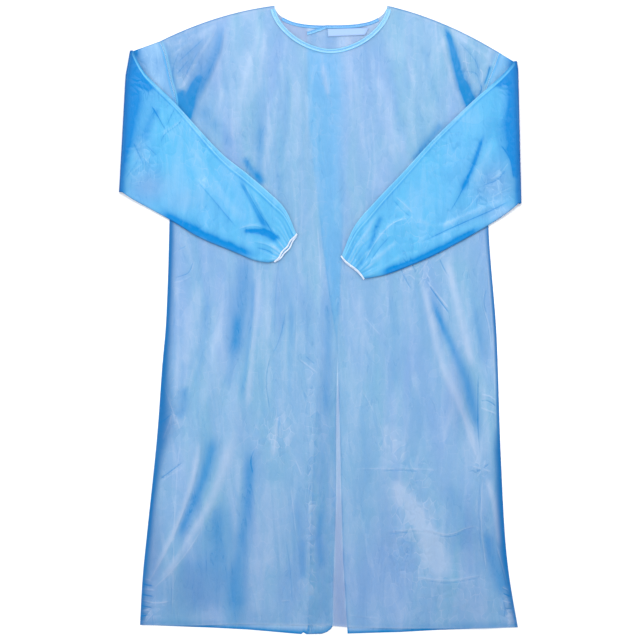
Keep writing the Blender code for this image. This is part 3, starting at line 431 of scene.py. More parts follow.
# Sleeves, each a flattened tube: stations after the elbow fold, from fold to cuff
LEFT_SLEEVE = {
    "side": -1,
    "fold": [(-350.6, 504.0), (-359.0, 456.6), (-371.1, 239.5)],
    "stations": [
        # upper edge x, upper edge y, lower edge x, lower edge y
        (-350.6, 504.0, -371.1, 239.5),
        (-329.3, 463.7, -349.5, 225.0),
        (-269.4, 403.9, -282.2, 188.1),
        (-190.5, 317.8, -225.0, 154.0),
        (-137.8, 274.7, -165.4, 129.0),
        (-99.4, 241.9, -127.0, 113.0),
        (-66.0, 208.0, -101.0, 107.5),
        (-45.6, 163.0, -86.6, 109.0),
    ],
    "cuff_gape": 5.0,
    "sway": 0.9,
    "sways": 2.6,
    "folds": [
        # height, half width, points
        (1.6, 16.0, [(-234, 269), (-154, 167)]),
        (1.2, 18.0, [(-300, 400), (-190, 290)]),
        (1.4, 18.0, [(-340, 250), (-240, 185), (-150, 145)]),
    ],
    # Tone as on the front's creases: painted highlight above 0, painted shade below 0
    "creases": [
        # rise, half width at start, at end, lean, tone, points
        (-0.5, 10, 7, 0.0, -0.85, [(-352, 486), (-338, 458), (-312, 428)]),
        (0.5, 2, 3, 0.0, -0.40, [(-317, 403), (-303, 380), (-289, 354)]),
        (0.5, 2, 3, 0.0, -0.40, [(-272, 396), (-281, 378), (-288, 362)]),
        (0.5, 2, 3, 0.0, -0.40, [(-255, 379), (-268, 364), (-291, 347), (-299, 330)]),
        (0.2, 12, 12, 0.0, 0.14, [(-266, 372), (-286, 340)]),
        (-0.4, 8, 7, 0.0, -0.36, [(-300, 400), (-318, 372), (-330, 330)]),
        (0.5, 2, 3, 0.0, -0.26, [(-235, 266), (-195, 219), (-154, 170)]),
        (0.4, 10, 9, 0.0, 0.20, [(-226, 276), (-186, 232), (-142, 184)]),
        (-0.5, 4, 10, -0.7, -0.50, [(-154, 266), (-124, 210), (-98, 160)]),
        (-0.4, 2, 3, 0.0, -0.30, [(-138, 250), (-112, 202), (-86, 158)]),
        (0.4, 2, 3, 0.0, 0.30, [(-146, 262), (-118, 212), (-92, 168)]),
        (0.4, 2, 3, 0.0, 0.22, [(-128, 238), (-104, 196), (-78, 152)]),
        (-0.6, 4, 7, 0.0, -0.90, [(-148, 166), (-120, 166), (-94, 160), (-74, 145)]),
        (0.4, 2, 3, 0.0, 0.26, [(-156, 170), (-126, 178), (-96, 170)]),
        (0.4, 3, 3, 0.0, 0.24, [(-126, 148), (-100, 142), (-80, 132)]),
        (-0.4, 3, 3, 0.0, -0.26, [(-120, 136), (-98, 130), (-86, 122)]),
        (-0.6, 9, 9, 0.0, -0.80, [(-310, 211), (-272, 187), (-225, 163), (-180, 143),
                                  (-140, 127), (-108, 117)]),
        (-0.3, 2, 3, 0.0, -0.26, [(-350, 334), (-328, 286)]),
        (0.3, 2, 3, 0.0, 0.24, [(-364, 300), (-330, 340)]),
        (-0.3, 2, 3, 0.0, -0.22, [(-330, 332), (-304, 306)]),
        (0.3, 2, 2, 0.0, 0.22, [(-352, 276), (-318, 306)]),
        (-0.3, 2, 2, 0.0, -0.22, [(-364, 264), (-340, 300)]),
        (0.4, 4, 4, 0.0, 0.16, [(-250, 330), (-210, 280), (-180, 230)]),
    ],
    "clear": [
        # x, y, reach x, reach y, share
        (-322.0, 250.0, 42.0, 34.0, 0.85),
        (-262.0, 222.0, 46.0, 26.0, 0.40),
        (-338.0, 320.0, 14.0, 30.0, 0.40),
    ],
    "crumpled": [
        # x, y, reach x, reach y, strength
        (-330.0, 300.0, 34.0, 44.0, 0.9),
        (-335.0, 470.0, 16.0, 26.0, 0.6),
        (-96.0, 150.0, 30.0, 26.0, 0.4),
    ],
    "seam": [(0.0, 5.0), (2.0, 7.0), (3.5, 12.0), (5.5, 14.0), (7.0, 5.0)],
}
RIGHT_SLEEVE = {
    "side": 1,
    "fold": [(363.0, 484.0), (365.3, 468.0), (371.1, 218.0)],
    "stations": [
        # upper edge x, upper edge y, lower edge x, lower edge y
        (363.0, 484.0, 371.1, 218.0),
        (340.0, 458.0, 345.0, 196.5),
        (290.0, 414.0, 290.0, 162.4),
        (214.7, 341.6, 222.0, 125.5),
        (157.5, 279.4, 168.0, 101.5),
        (105.6, 225.0, 128.0, 86.5),
        (65.0, 177.0, 104.0, 80.5),
        (41.4, 122.2, 83.4, 77.2),
    ],
    "cuff_gape": 1.5,
    "sway": 2.2,
    "sways": 0.9,
    "folds": [
        # height, half width, points
        (1.8, 17.0, [(300, 330), (245, 209)]),
        (1.4, 15.0, [(190, 190), (116, 160)]),
        (1.4, 18.0, [(330, 215), (236, 155), (150, 112)]),
    ],
    # Tone as on the front's creases: painted highlight above 0, painted shade below 0
    "creases": [
        # rise, half width at start, at end, lean, tone, points
        (-0.5, 8, 6, 0.0, -0.70, [(360, 474), (346, 452), (326, 436)]),
        (0.5, 2, 2, 0.0, 0.34, [(140, 232), (158, 216), (175, 199)]),
        (-0.5, 2, 3, 0.0, -0.30, [(136, 226), (152, 208), (170, 192)]),
        (0.4, 8, 8, 0.0, 0.22, [(142, 214), (164, 200)]),
        (0.5, 2, 3, 0.0, 0.36, [(76, 98), (103, 146), (129, 176), (151, 188), (174, 192)]),
        (-0.5, 3, 3, 0.0, -0.28, [(84, 96), (110, 134), (132, 158)]),
        (0.5, 3, 4, 0.0, 0.28, [(80, 90), (108, 118), (147, 150)]),
        (0.4, 3, 4, 0.0, 0.22, [(86, 82), (120, 100), (156, 122)]),
        (-0.5, 5, 5, 0.0, -0.50, [(118, 200), (106, 176), (98, 150), (90, 122)]),
        (0.4, 3, 4, 0.0, 0.26, [(108, 200), (88, 166), (66, 130)]),
        (0.4, 2, 2, 0.0, 0.24, [(60, 160), (54, 136), (50, 120)]),
        (-0.5, 3, 9, 0.6, -0.62, [(308, 352), (296, 314), (280, 270), (262, 232)]),
        (-0.4, 2, 3, 0.0, -0.34, [(286, 290), (262, 236), (240, 198)]),
        (0.5, 8, 9, 0.0, 0.34, [(328, 342), (306, 296), (284, 250)]),
        (-0.4, 2, 3, 0.0, -0.34, [(336, 330), (356, 300), (362, 262)]),
        (-0.4, 6, 6, 0.0, -0.40, [(350, 330), (362, 300), (366, 262)]),
        (0.4, 3, 4, 0.0, 0.20, [(176, 190), (220, 176), (262, 188)]),
        (-0.4, 2, 3, 0.0, -0.40, [(360, 226), (322, 206), (272, 184), (232, 166), (190, 146)]),
        (0.4, 3, 4, 0.0, 0.26, [(352, 232), (314, 213), (266, 194), (222, 172)]),
        (0.3, 6, 5, 0.0, 0.20, [(356, 214), (300, 182), (252, 160)]),
        (-0.6, 7, 8, 0.0, -0.85, [(312, 180), (272, 158), (222, 131), (172, 108), (130, 92),
                                  (98, 82)]),
        (0.3, 2, 3, 0.0, 0.26, [(356, 300), (338, 276), (316, 262)]),
        (-0.3, 2, 3, 0.0, -0.26, [(350, 284), (330, 262), (300, 250)]),
        (0.3, 2, 2, 0.0, 0.26, [(362, 250), (340, 240), (318, 228)]),
        (0.3, 2, 2, 0.0, 0.22, [(300, 240), (280, 214), (262, 200)]),
    ],
    "clear": [
        # x, y, reach x, reach y, share
        (326.0, 256.0, 40.0, 44.0, 0.75),
        (340.0, 200.0, 44.0, 18.0, 0.70),
        (270.0, 196.0, 30.0, 20.0, 0.30),
    ],
    "crumpled": [
        # x, y, reach x, reach y, strength
        (318.0, 240.0, 44.0, 50.0, 0.9),
        (345.0, 440.0, 16.0, 30.0, 0.6),
        (70.0, 128.0, 26.0, 40.0, 0.5),
    ],
    "seam": [(0.0, 5.0), (2.0, 6.0), (3.5, 10.0), (5.5, 15.0), (7.0, 6.0)],
}
FOLD_RADIUS = 6.0
FOREARM_CLEAR = 0.8
FOREARM_PROBE = 22.0
STRIP_PROBE = 9.0
SETTLE_STATIONS = 2.2
GATHERS = 5
GATHER_HEIGHT = 1.3
GATHER_START = 4.6
CUFF_RIM = 3.0
TUBE_DEPTH = 2.0 * WALL + SEAM_GAP

# Fastening strip inside the neck of the right back panel
TAPE_UPPER = [(13.7, 545.1), (52.0, 546.2), (90.9, 547.1)]
TAPE_LOWER = [(14.6, 530.8), (51.0, 532.4), (83.8, 534.0)]

# Grids of the panels: side strips of finer cells, and lengths that the cell divides
EDGE_STRIP = 12.0
EDGE_CELL = 1.5
ARMHOLE_LENGTH = 260.0
SIDE_LENGTH = 850.0
BACK_LEFT_NECK = 140.0
BACK_RIGHT_NECK = 152.0
ARMHOLE_CURVE = 12
SIDE_CURVE = 24
NO_SCOOP = (0.0, 1.0, 1.0)

# Folds and creases: how they end, narrow and lean
FOLD_TAPER = 0.2
FOLD_END = 0.3
CREASE_CURVE = 5
CREASE_REACH = 3.0
CREASE_TAPER = 0.18
CREASE_SOFTNESS = 0.4
CREASE_LEAST = 1.5
CREASE_LEAN = 0.75
SHARP_SHARE = 0.5

# Noise: cell size along x and along y, and seed where only one surface has it
WIDE_STREAKS = (21.0, 190.0, 3)
NARROW_STREAKS = (9.0, 90.0, 5)
NARROW_SHARE = 0.6
STREAK_SLANT = 0.12
BACK_STREAKS = (24.0, 160.0)
FACING_WOBBLES = (9.0, 9.0, 23)
FACING_PUCKERS = (16.0, 5.0, 31)
UPPER_ARM_WAVES = (16.0, 40.0, 41)
FOREARM_WAVES = (34.0, 46.0, 43)
ARM_CRUMPLES = (55.0, 55.0, 51)
CUFF_GATHERS = (6.5, 26.0, 61)
FRONT_CRUMPLE_SEED = 7
ARM_CRUMPLE_SEED = 53
BACK_LEFT_SEED = 11
BACK_RIGHT_SEED = 17
FACING_SEED = 29
# Painted shading of the waves and crumples: paler where they rise, darker where they sink
STREAK_SHADING = 0.10
CRUMPLE_SHADING = 0.22
BACK_CRUMPLE = 0.3

# Soft bands beside an edge: distance of the middle, half width, strength
ARMHOLE_BEAD = (2.2, 1.6, 0.5)
# Painted shade on the front beside the armhole seam
ARMHOLE_SHADE = (5.0, 4.0, -0.20)
FRONT_HEM_LINE = (1.0, 1.6, 0.5)
SHOULDER_LINE = (4.0, 2.0, 0.22)
SHOULDER_EDGE = (0.0, 2.2, 0.9)
BACK_HEM_SHADE = (0.0, 11.0, -0.6)
BACK_HEM_EDGE = (0.0, 2.2, 0.80)
BACK_LEFT_SHADE = (0.0, 2.2, -0.25)
BACK_LEFT_FADE = (0.0, 20.0, 0.9)
BACK_RIGHT_SHADE = (0.0, 2.2, -0.35)
BACK_RIGHT_FADE = (0.0, 7.0, 0.45)
FACING_GATHER = (0.0, 9.0, 1.0)
FACING_SHADE = (0.0, 1.8, -0.5)
ARM_EDGE_BEAD = (1.6, 1.3, 0.9)
ARM_SEAM_BEAD = (0.0, 1.5, 0.9)
ARM_SEAM_SHADE = (3.6, 2.2, -0.36)
UPPER_ARM_BEAD = (2.0, 1.5, 0.45)

# Ramps from 0 to 1: start and length
ARMHOLE_RAMP = 30.0
SIDE_BAND_RAMP = (20.0, 40.0)
HIGH_UP = (120.0, 160.0)
LAPPED_RAMP = (-140.0, 260.0)
GAP_RAMP = (-420.0, 180.0)
GAP_TOP_RAMP = (-240.0, 80.0)
LAP_SOFT_RAMP = (80.0, 220.0)
BACK_RIGHT_GREY_RAMP = (36.0, 26.0)
UPPER_FOREARM = (250.0, 120.0)

# How grey and how many layers deep the film looks, by part
LAPPED_LAYERS = 0.80
GAP_GREYS = (0.78, 0.45)
GAP_TOP_GREY = 0.2
BACK_LEFT_GREY = 0.75
BACK_RIGHT_GREYS = (0.12, 0.45)
LAP_SOFT = (3.0, 34.0)
LAP_LEAD = 0.3
LAP_EDGE = 9.0
GAP_EDGE = 1.6
NECK_EDGE = (5.0, 0.2)
NECK_LAP_EDGE = 4.0
SHOULDER_REACH = 12.0
CLEAR_GAIN = 2.0
BACK_WAVE = 0.2

# The turned-in strip: its grid, insets and relief
FACING_CELL = 2.0
FACING_COLUMNS = 24
FACING_WOBBLE = 0.9
FACING_INSET = 1.5
FACING_HEM_GAP = 0.5
FACING_FADE = 0.9
FACING_FADE_RUN = 130.0
FACING_TONE = 0.12
# Painted shading of the puckers: paler where they rise
PUCKER_SHADING = 0.45
FACING_PUCKER = 0.28
FACING_WAVE = 0.15

# Sleeves: seam lines, gathers at the cuff, edges, upper arm, bend and crumpling
STATION_STEPS = 40
ARM_WIDTH = 250.0
RIM_SHARE = 0.08
GATHER_PLACES = (230.0, 12.0)
GATHER_RISE = 0.49
# Painted shading of the cuff gathers: paler where they rise
GATHER_SHADING = 0.336
BEAD_RISE = 0.25
SEAM_STRIP_TONE = 0.04
EDGE_LINE = (1.2, 0.85)
SEAM_LINE_STRENGTH = 0.7
LOWER_EDGE = 0.55
LOWER_EDGE_UNDER = 0.2
LOWER_EDGE_WIDTH = 3.0
FLAT_RIM = 10.0
UNDER_TONE_SHARE = 0.5
UNDER_TONE = -0.1
LEAST_UPPER_RINGS = 6
UPPER_ARM_LAYERS = {-1: 0.8, 1: 0.5}
BEND_STEPS = 14
FOREARM_SHADE = (0.0, 46.0, -0.24)
FOREARM_WAVE_TONE = 0.12
ARM_CRUMPLE = (0.10, 0.4)
ARM_CRUMPLE_SHARE = 0.6
ARM_CRUMPLE_FROM = 4.0

# Cuff rims: points round the loop, sides and half height of the strip, swell of its ribs
RIM_POINTS = 90
RIM_SIDES = 10
RIM_HALF_HEIGHT = 0.55
RIB_SWELL = 0.16
RIB_HEIGHT = 0.22

# Neck bindings: where each starts and ends, how many points it has, puckers and stitches
BINDING_END_GAP = 0.7
BINDING_POINTS = 220
BACK_LEFT_BINDING = (-70.0, 48.5, 96)
BACK_RIGHT_BINDING_END = 107.5
BACK_RIGHT_BINDING_POINTS = 106
BINDING_LIFT = SEAM_GAP + 0.15
SLOPE_STEP = 0.25
BINDING_PUCKER = 0.16
BINDING_PUCKER_PITCH = 6.8
BINDING_RIM = 1.8
BINDING_DULL = 0.75
STITCH_SHARE = 0.48
STITCH_HALF = 0.36
STITCH_RADIUS = 0.16
STITCH_SWELL = (0.35, 0.9, 1.0, 0.9, 0.35)
STITCH_SIDES = 6

# Stage: floor, sky, lamps as place, size and power, and the camera
FLOOR_SIZE = 14.0
SKY = (0.93, 0.96, 1.0, 1.0)
SKY_STRENGTH = 0.42
LAMPS = [
    # name, place, size, power
    ("key_light", (0.1, 1.35, 2.5), (2.2, 1.2), 50.0),
    ("left_light", (-2.1, 0.1, 1.7), (0.9, 2.2), 34.0),
    ("right_light", (2.2, -0.1, 1.6), (0.9, 2.2), 26.0),
]
CAMERA_PLACE = (-0.0004, 0.0, 3.3333)
CAMERA_LENS = 100.0
CAMERA_SENSOR = 36.0
CAMERA_REACH = 50.0


def clamp(value):
    return np.clip(value, 0.0, 1.0)


def smooth(value):
    """Ease from 0 to 1 with flat ends."""
    value = clamp(value)
    return value * value * (3.0 - 2.0 * value)


def mix(start, end, share):
    return start + (end - start) * share


def ramp(value, start, length):
    """Ease from 0 at the start to 1 a length further on."""
    return smooth((value - start) / length)


def over_edge(gap, width, lead=0.5):
    """Ease from 0 to 1 over an edge's width, with the share that it has at the edge."""
    return smooth(gap / width + lead)


def bell(gap, half_width):
    """1 at no gap, falling softly to 0."""
    return np.exp(-((gap / half_width) ** 2))


def band(gap, row):
    """A soft band beside an edge, from a row of place, half width and strength."""
    place, half_width, strength = row
    return strength * bell(gap - place, half_width)


def tapered(place, run):
    """1 along a line's middle, easing to 0 over a run at both ends."""
    return smooth(place / run) * smooth((1.0 - place) / run)


def falling(rows, column, y):
    """Straight-line value of a column from rows whose first value, y, falls."""
    keys = [row[0] for row in reversed(rows)]
    return np.interp(y, keys, [row[column] for row in reversed(rows)])


def rising(points, x):
    """The y of a polyline of points whose x rises."""
    return np.interp(x, [point[0] for point in points], [point[1] for point in points])


def through(points, steps):
    """Smooth curve through points, with the given steps between each pair."""
    points = np.asarray(points, float)
    ends = np.vstack([2 * points[0] - points[1], points, 2 * points[-1] - points[-2]])
    share = (np.arange(steps) / steps)[:, None]
    square, cube = share ** 2, share ** 3
    parts = []
    for before, start, end, after in zip(ends, ends[1:], ends[2:], ends[3:]):
        rise, fall = (end - before) / 2.0, (after - start) / 2.0
        parts.append((2 * cube - 3 * square + 1) * start + (cube - 2 * square + share) * rise
                     + (3 * square - 2 * cube) * end + (cube - square) * fall)
    return np.vstack(parts + [points[-1:]])


def evenly(points, shares):
    """Points at shares of a polyline's length."""
    points = np.asarray(points, float)
    runs = np.concatenate([[0.0], np.cumsum(np.hypot(*np.diff(points, axis=0).T))])
    at = clamp(shares) * runs[-1]
    return np.stack([np.interp(at, runs, points[:, 0]), np.interp(at, runs, points[:, 1])], -1)


def near_line(points, x, y):
    """Distance of each place from a polyline, its share of the length, and which side."""
    best = np.full(np.shape(x), np.inf)
    place, side = np.zeros(np.shape(x)), np.zeros(np.shape(x))
    steps = np.hypot(*np.diff(points, axis=0).T)
    whole = steps.sum()
    run = 0.0
    for start, end, step in zip(points, points[1:], steps):
        along = (end - start) / step
        off_x, off_y = x - start[0], y - start[1]
        share = clamp((off_x * along[0] + off_y * along[1]) / step)
        gap = np.hypot(off_x - share * step * along[0], off_y - share * step * along[1])
        closer = gap < best
        best = np.where(closer, gap, best)
        place = np.where(closer, (run + share * step) / whole, place)
        side = np.where(closer, off_y * along[0] - off_x * along[1], side)
        run += step
    return best, place, side


def fold_height(folds, x, y):
    """Sum of the soft ridges that the solids have, each fading at its two ends."""
    total = np.zeros(np.shape(x))
    for height, half_width, points in folds:
        gap, place, _side = near_line(np.asarray(points, float), x, y)
        taper = tapered(place, FOLD_TAPER) * (1.0 - FOLD_END) + FOLD_END
        total += height * taper * bell(gap, half_width)
    return total


def crease_field(rows, x, y):
    """Rise and tone of finer creases, each a soft ridge or trough that narrows to its ends; the
    tone is painted highlight on ridges and painted shade in troughs.

    Also the distance to the nearest sharp one, below 0 on its right, and its strength, which
    is below 0 where it is dark.
    """
    rise, tone, crisp = (np.zeros(np.shape(x)) for _ in range(3))
    line_gap = np.full(np.shape(x), LINE_REACH)
    for height, start_width, end_width, lean, shade, points in rows:
        line = through(points, CREASE_CURVE)
        widest = max(start_width, end_width)
        reach = CREASE_REACH * (widest + 1.0)
        low, high = line.min(0) - reach, line.max(0) + reach
        near = (x > low[0]) & (x < high[0]) & (y > low[1]) & (y < high[1])
        if not near.any():
            continue
        gap, place, side = near_line(line, x[near], y[near])
        half_width = mix(start_width, end_width, place) + CREASE_SOFTNESS
        half_width *= np.where(side * lean > 0.0, 1.0 - CREASE_LEAN * abs(lean), 1.0)
        taper = tapered(place, CREASE_TAPER)
        swell = bell(gap, np.maximum(half_width, CREASE_LEAST)) * taper
        rise[near] += height * swell
        sharp = widest <= SHARP_WIDTH
        tone[near] += shade * swell * (SHARP_SHARE if sharp else 1.0)
        if sharp:
            signed = np.where(side < 0.0, -gap, gap)
            pull = SHARP_GAIN * shade * taper * bell(gap, LINE_REACH)
            line_gap[near], crisp[near] = stronger(line_gap[near], crisp[near], signed, pull)
    return rise, tone, line_gap, crisp


def stronger(line_gap, crisp, gap, pull):
    """The gap and strength of the stronger of two sharp lines at each place."""
    taken = np.abs(pull) > np.abs(crisp)
    return np.where(taken, gap, line_gap), np.where(taken, pull, crisp)


def soft_noise(x, y, size_x, size_y, seed):
    """Smooth noise from -1 to 1 on a lattice of cells of the given size."""
    count = 512
    lattice = np.random.default_rng(seed).uniform(-1.0, 1.0, (count, count))
    across, down = x / size_x + 200.0, y / size_y + 200.0
    i, j = np.floor(across).astype(int), np.floor(down).astype(int)
    u, v = smooth(across - i), smooth(down - j)
    corner = [lattice[(i + a) % count, (j + b) % count] for a in (0, 1) for b in (0, 1)]
    return mix(mix(corner[0], corner[1], v), mix(corner[2], corner[3], v), u)


def crumple_strength(x, y):
    """How crumpled the film is, from 0 to 1, by place."""
    return np.maximum(CRUMPLE_EVERYWHERE, patch_field(CRUMPLE_PATCHES, x, y))


def patch_field(patches, x, y):
    """The strongest of some soft patches at each place."""
    strength = np.zeros(np.shape(x))
    for at_x, at_y, reach_x, reach_y, peak in patches:
        patch = np.exp(-((x - at_x) / reach_x) ** 2 - ((y - at_y) / reach_y) ** 2)
        strength = np.maximum(strength, peak * patch)
    return strength


def crumple(x, y, seed):
    """Short random creases of thin film, as sharp as the mesh carries."""
    turned_x, turned_y = 0.8 * x + 0.6 * y, 0.8 * y - 0.6 * x
    first = 1.0 - 2.0 * np.abs(soft_noise(x, y, 13.0, 21.0, seed))
    second = 1.0 - 2.0 * np.abs(soft_noise(turned_x, turned_y, 17.0, 9.0, seed + 1))
    return 0.5 * (first + second)


def opening_edge(y, column):
    return falling(OPENING_ROWS, column, y)


def one_side(rows, side):
    """The points of one body edge, left below 0, out of rows with both."""
    first = 0 if side < 0 else 2
    return [row[first:first + 2] for row in rows]


def side_x(side, y):
    rows = [(at_y, at_x) for at_x, at_y in one_side(ARMHOLE_ROWS + SIDE_ROWS[1:], side)]
    return falling(rows, 1, y)


def armhole_places(side, shares):
    """Places at shares along one armhole's curve."""
    return evenly(through(one_side(ARMHOLE_ROWS, side), ARMHOLE_CURVE), shares)


def top_y(x, scoop):
    """Top edge of a panel: shoulder seams outside the neck, a scoop inside."""
    drop, power, root = scoop
    x = np.asarray(x, float)
    left = (NECK_LEFT_X - x) / (NECK_LEFT_X - SHOULDER_TIP_LEFT[0])
    right = (x - NECK_RIGHT_X) / (SHOULDER_TIP_RIGHT[0] - NECK_RIGHT_X)
    share = np.maximum(left, right)
    tip = np.where(left > right, SHOULDER_TIP_LEFT[1], SHOULDER_TIP_RIGHT[1])
    seam = mix(NECK_Y, tip, share) + 4.0 * SHOULDER_BOW * share * (1.0 - share)
    offset = np.abs(x - NECK_MIDDLE_X) / NECK_REACH
    neck = NECK_Y - drop * np.maximum(0.0, 1.0 - offset ** power) ** root
    return np.where(share > 0.0, seam, neck)


def back_right_top(x):
    """The right panel's neck corner droops where it laps the left panel."""
    return top_y(x, BACK_NECK) - CORNER_DROOP * clamp((CORNER_DROOP_X - x) / CORNER_DROOP_RUN)


def edge_gaps(x, y):
    """Distances of a place in the front from its nearer side and from its top edge."""
    side = np.maximum(0.0, np.minimum(x - side_x(-1, y), side_x(1, y) - x))
    return side, np.maximum(0.0, top_y(x, NO_SCOOP) - y)


def front_lower(x, y):
    """Underside of the front's solid: lofted over the back, rolled down at the sides."""
    side, below = edge_gaps(x, y)
    loft = FRONT_LOFT * smooth(side / LOFT_FROM_SIDE) * smooth(below / LOFT_FROM_TOP)
    roll = smooth((ARMPIT_Y - ROLL_START - y) / ROLL_FADE) * (1.0 - clamp(side / ROLL_WIDTH))
    return LAYER * (1.0 - roll) + loft + fold_clear(x, y) * fold_height(FRONT_FOLDS, x, y)


def fold_clear(x, y):
    """How free the front is to rise in folds: 0 at its side, shoulder and neck edges."""
    side, below = edge_gaps(x, y)
    clear = smooth(side / FOLD_CLEAR_SIDE) * smooth(below / FOLD_CLEAR_TOP)
    inside = (x > NECK_LEFT_X) & (x < NECK_RIGHT_X)
    return clear * np.where(inside, smooth((top_y(x, FRONT_NECK) - y) / FOLD_CLEAR_NECK), 1.0)


def front_upper(x, y):
    return front_lower(x, y) + WALL


def back_right_lower(x, y):
    """Underside of the right back panel: it climbs over the left panel and its binding."""
    lap = smooth((opening_edge(y, 1) + LAP_CLEAR + LAP_RAMP - x) / LAP_RAMP)
    lap *= smooth((y - LAP_END_Y) / LAP_FADE)
    return LAYER * lap * (1.0 + smooth((y - BINDING_LIFT_Y) / BINDING_LIFT_RAMP))


def highest_near(height, x, y, reach):
    """The highest of a surface at a place and the eight around it."""
    steps = (-reach, 0.0, reach)
    return np.max([height(x + across, y + up) for across in steps for up in steps], axis=0)


def on_back_right(x, y):
    return highest_near(back_right_lower, x, y, STRIP_PROBE) + LAYER


def side_edge(side, cell, inset):
    """Points down one body edge: the armhole, then the side to the hem, on smooth curves."""
    armhole_steps, side_steps = int(ARMHOLE_LENGTH / cell), int(SIDE_LENGTH / cell)
    upper = armhole_places(side, np.arange(armhole_steps) / armhole_steps)
    shares = np.arange(side_steps + 1) / side_steps
    lower = evenly(through(one_side(SIDE_ROWS, side), SIDE_CURVE), shares)
    lower[:, 0] -= side * inset * smooth(shares * 4.0)
    return np.vstack([upper, lower])


def panel_plan(tops, hems, lefts, rights):
    """Plan of a panel: ruled from its top edge to its hem, and bent near its two sides."""
    tops, hems = np.asarray(tops, float), np.asarray(hems, float)
    down = (lefts[:, 1] - lefts[0, 1]) / (lefts[-1, 1] - lefts[0, 1])
    across = (tops[:, 0] - tops[0, 0]) / (tops[-1, 0] - tops[0, 0])
    share, over = down[:, None, None], across[None, :, None]
    left_bend = lefts[:, None] - mix(tops[0], hems[0], share)
    right_bend = rights[:, None] - mix(tops[-1], hems[-1], share)
    plan = mix(tops[None], hems[None], share)
    plan = plan + left_bend * (1.0 - over) ** SIDE_PULL + right_bend * over ** SIDE_PULL
    return plan[..., 0], plan[..., 1]


def spaced(start, end, step):
    """Even places from start up to, not including, end."""
    count = max(2, int(round(abs(end - start) / step)))
    return start + (end - start) * np.arange(count) / count


def neck_places(start, end, count):
    """Places along the neck, closer together where its edge turns steep."""
    turn_a = math.acos(max(-1.0, min(1.0, (NECK_MIDDLE_X - start) / NECK_REACH)))
    turn_b = math.acos(max(-1.0, min(1.0, (NECK_MIDDLE_X - end) / NECK_REACH)))
    turns = turn_a + (turn_b - turn_a) * np.arange(count) / count
    return NECK_MIDDLE_X - NECK_REACH * np.cos(turns)


def link_mesh(name, verts, faces, values=None):
    """Make a smooth-shaded piece from points in millimetres, with values kept on its points."""
    mesh = bpy.data.meshes.new(name)
    mesh.from_pydata((np.asarray(verts) * MM).tolist(), [], faces)
    for key, numbers in (values or {}).items():
        layer = mesh.attributes.new(key, "FLOAT", "POINT")
        layer.data.foreach_set("value", np.asarray(numbers, np.float32).ravel())
    mesh.validate()
    mesh.shade_smooth()
    piece = bpy.data.objects.new(name, mesh)
    bpy.context.scene.collection.objects.link(piece)
    return piece


def grid_faces(rows, columns, closed=False, first=0):
    """Quads over a grid of points; closed joins each row's end to its start."""
    faces = []
    last = columns if closed else columns - 1
    for i in range(rows - 1):
        for j in range(last):
            a = first + i * columns + j
            b = first + i * columns + (j + 1) % columns
            faces.append((a, a + columns, b + columns, b))
    return faces


def sheet_piece(name, x, y, z, values):
    """One open sheet over a grid of places, facing up."""
    rows, columns = x.shape
    verts = np.stack([x, y, z], -1).reshape(-1, 3)
    return link_mesh(name, verts, grid_faces(rows, columns), values)


def finish_piece(piece, finish, node):
    """Give a piece its finish and its body, and hide the solid that it stands for."""
    piece.data.materials.append(finish)
    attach(piece, BODY)
    if node:
        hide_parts(node)


class Wire:
    """A node's output that sums can be written with."""

    def __init__(self, made, socket):
        self.made = made
        self.socket = socket

    def __add__(self, other):
        return self.made.maths("ADD", self, other)

    def __sub__(self, other):
        return self.made.maths("SUBTRACT", self, other)

    def __rsub__(self, other):
        return self.made.maths("SUBTRACT", other, self)

    def __mul__(self, other):
        return self.made.maths("MULTIPLY", self, other)

    def __truediv__(self, other):
        return self.made.maths("DIVIDE", self, other)

    def __neg__(self):
        return self.made.maths("MULTIPLY", self, -1.0)

    __radd__ = __add__
    __rmul__ = __mul__

    def held(self, low=0.0, high=1.0):
        """The value kept between two limits."""
        return self.made.maths("MINIMUM", self.made.maths("MAXIMUM", self, low), high)


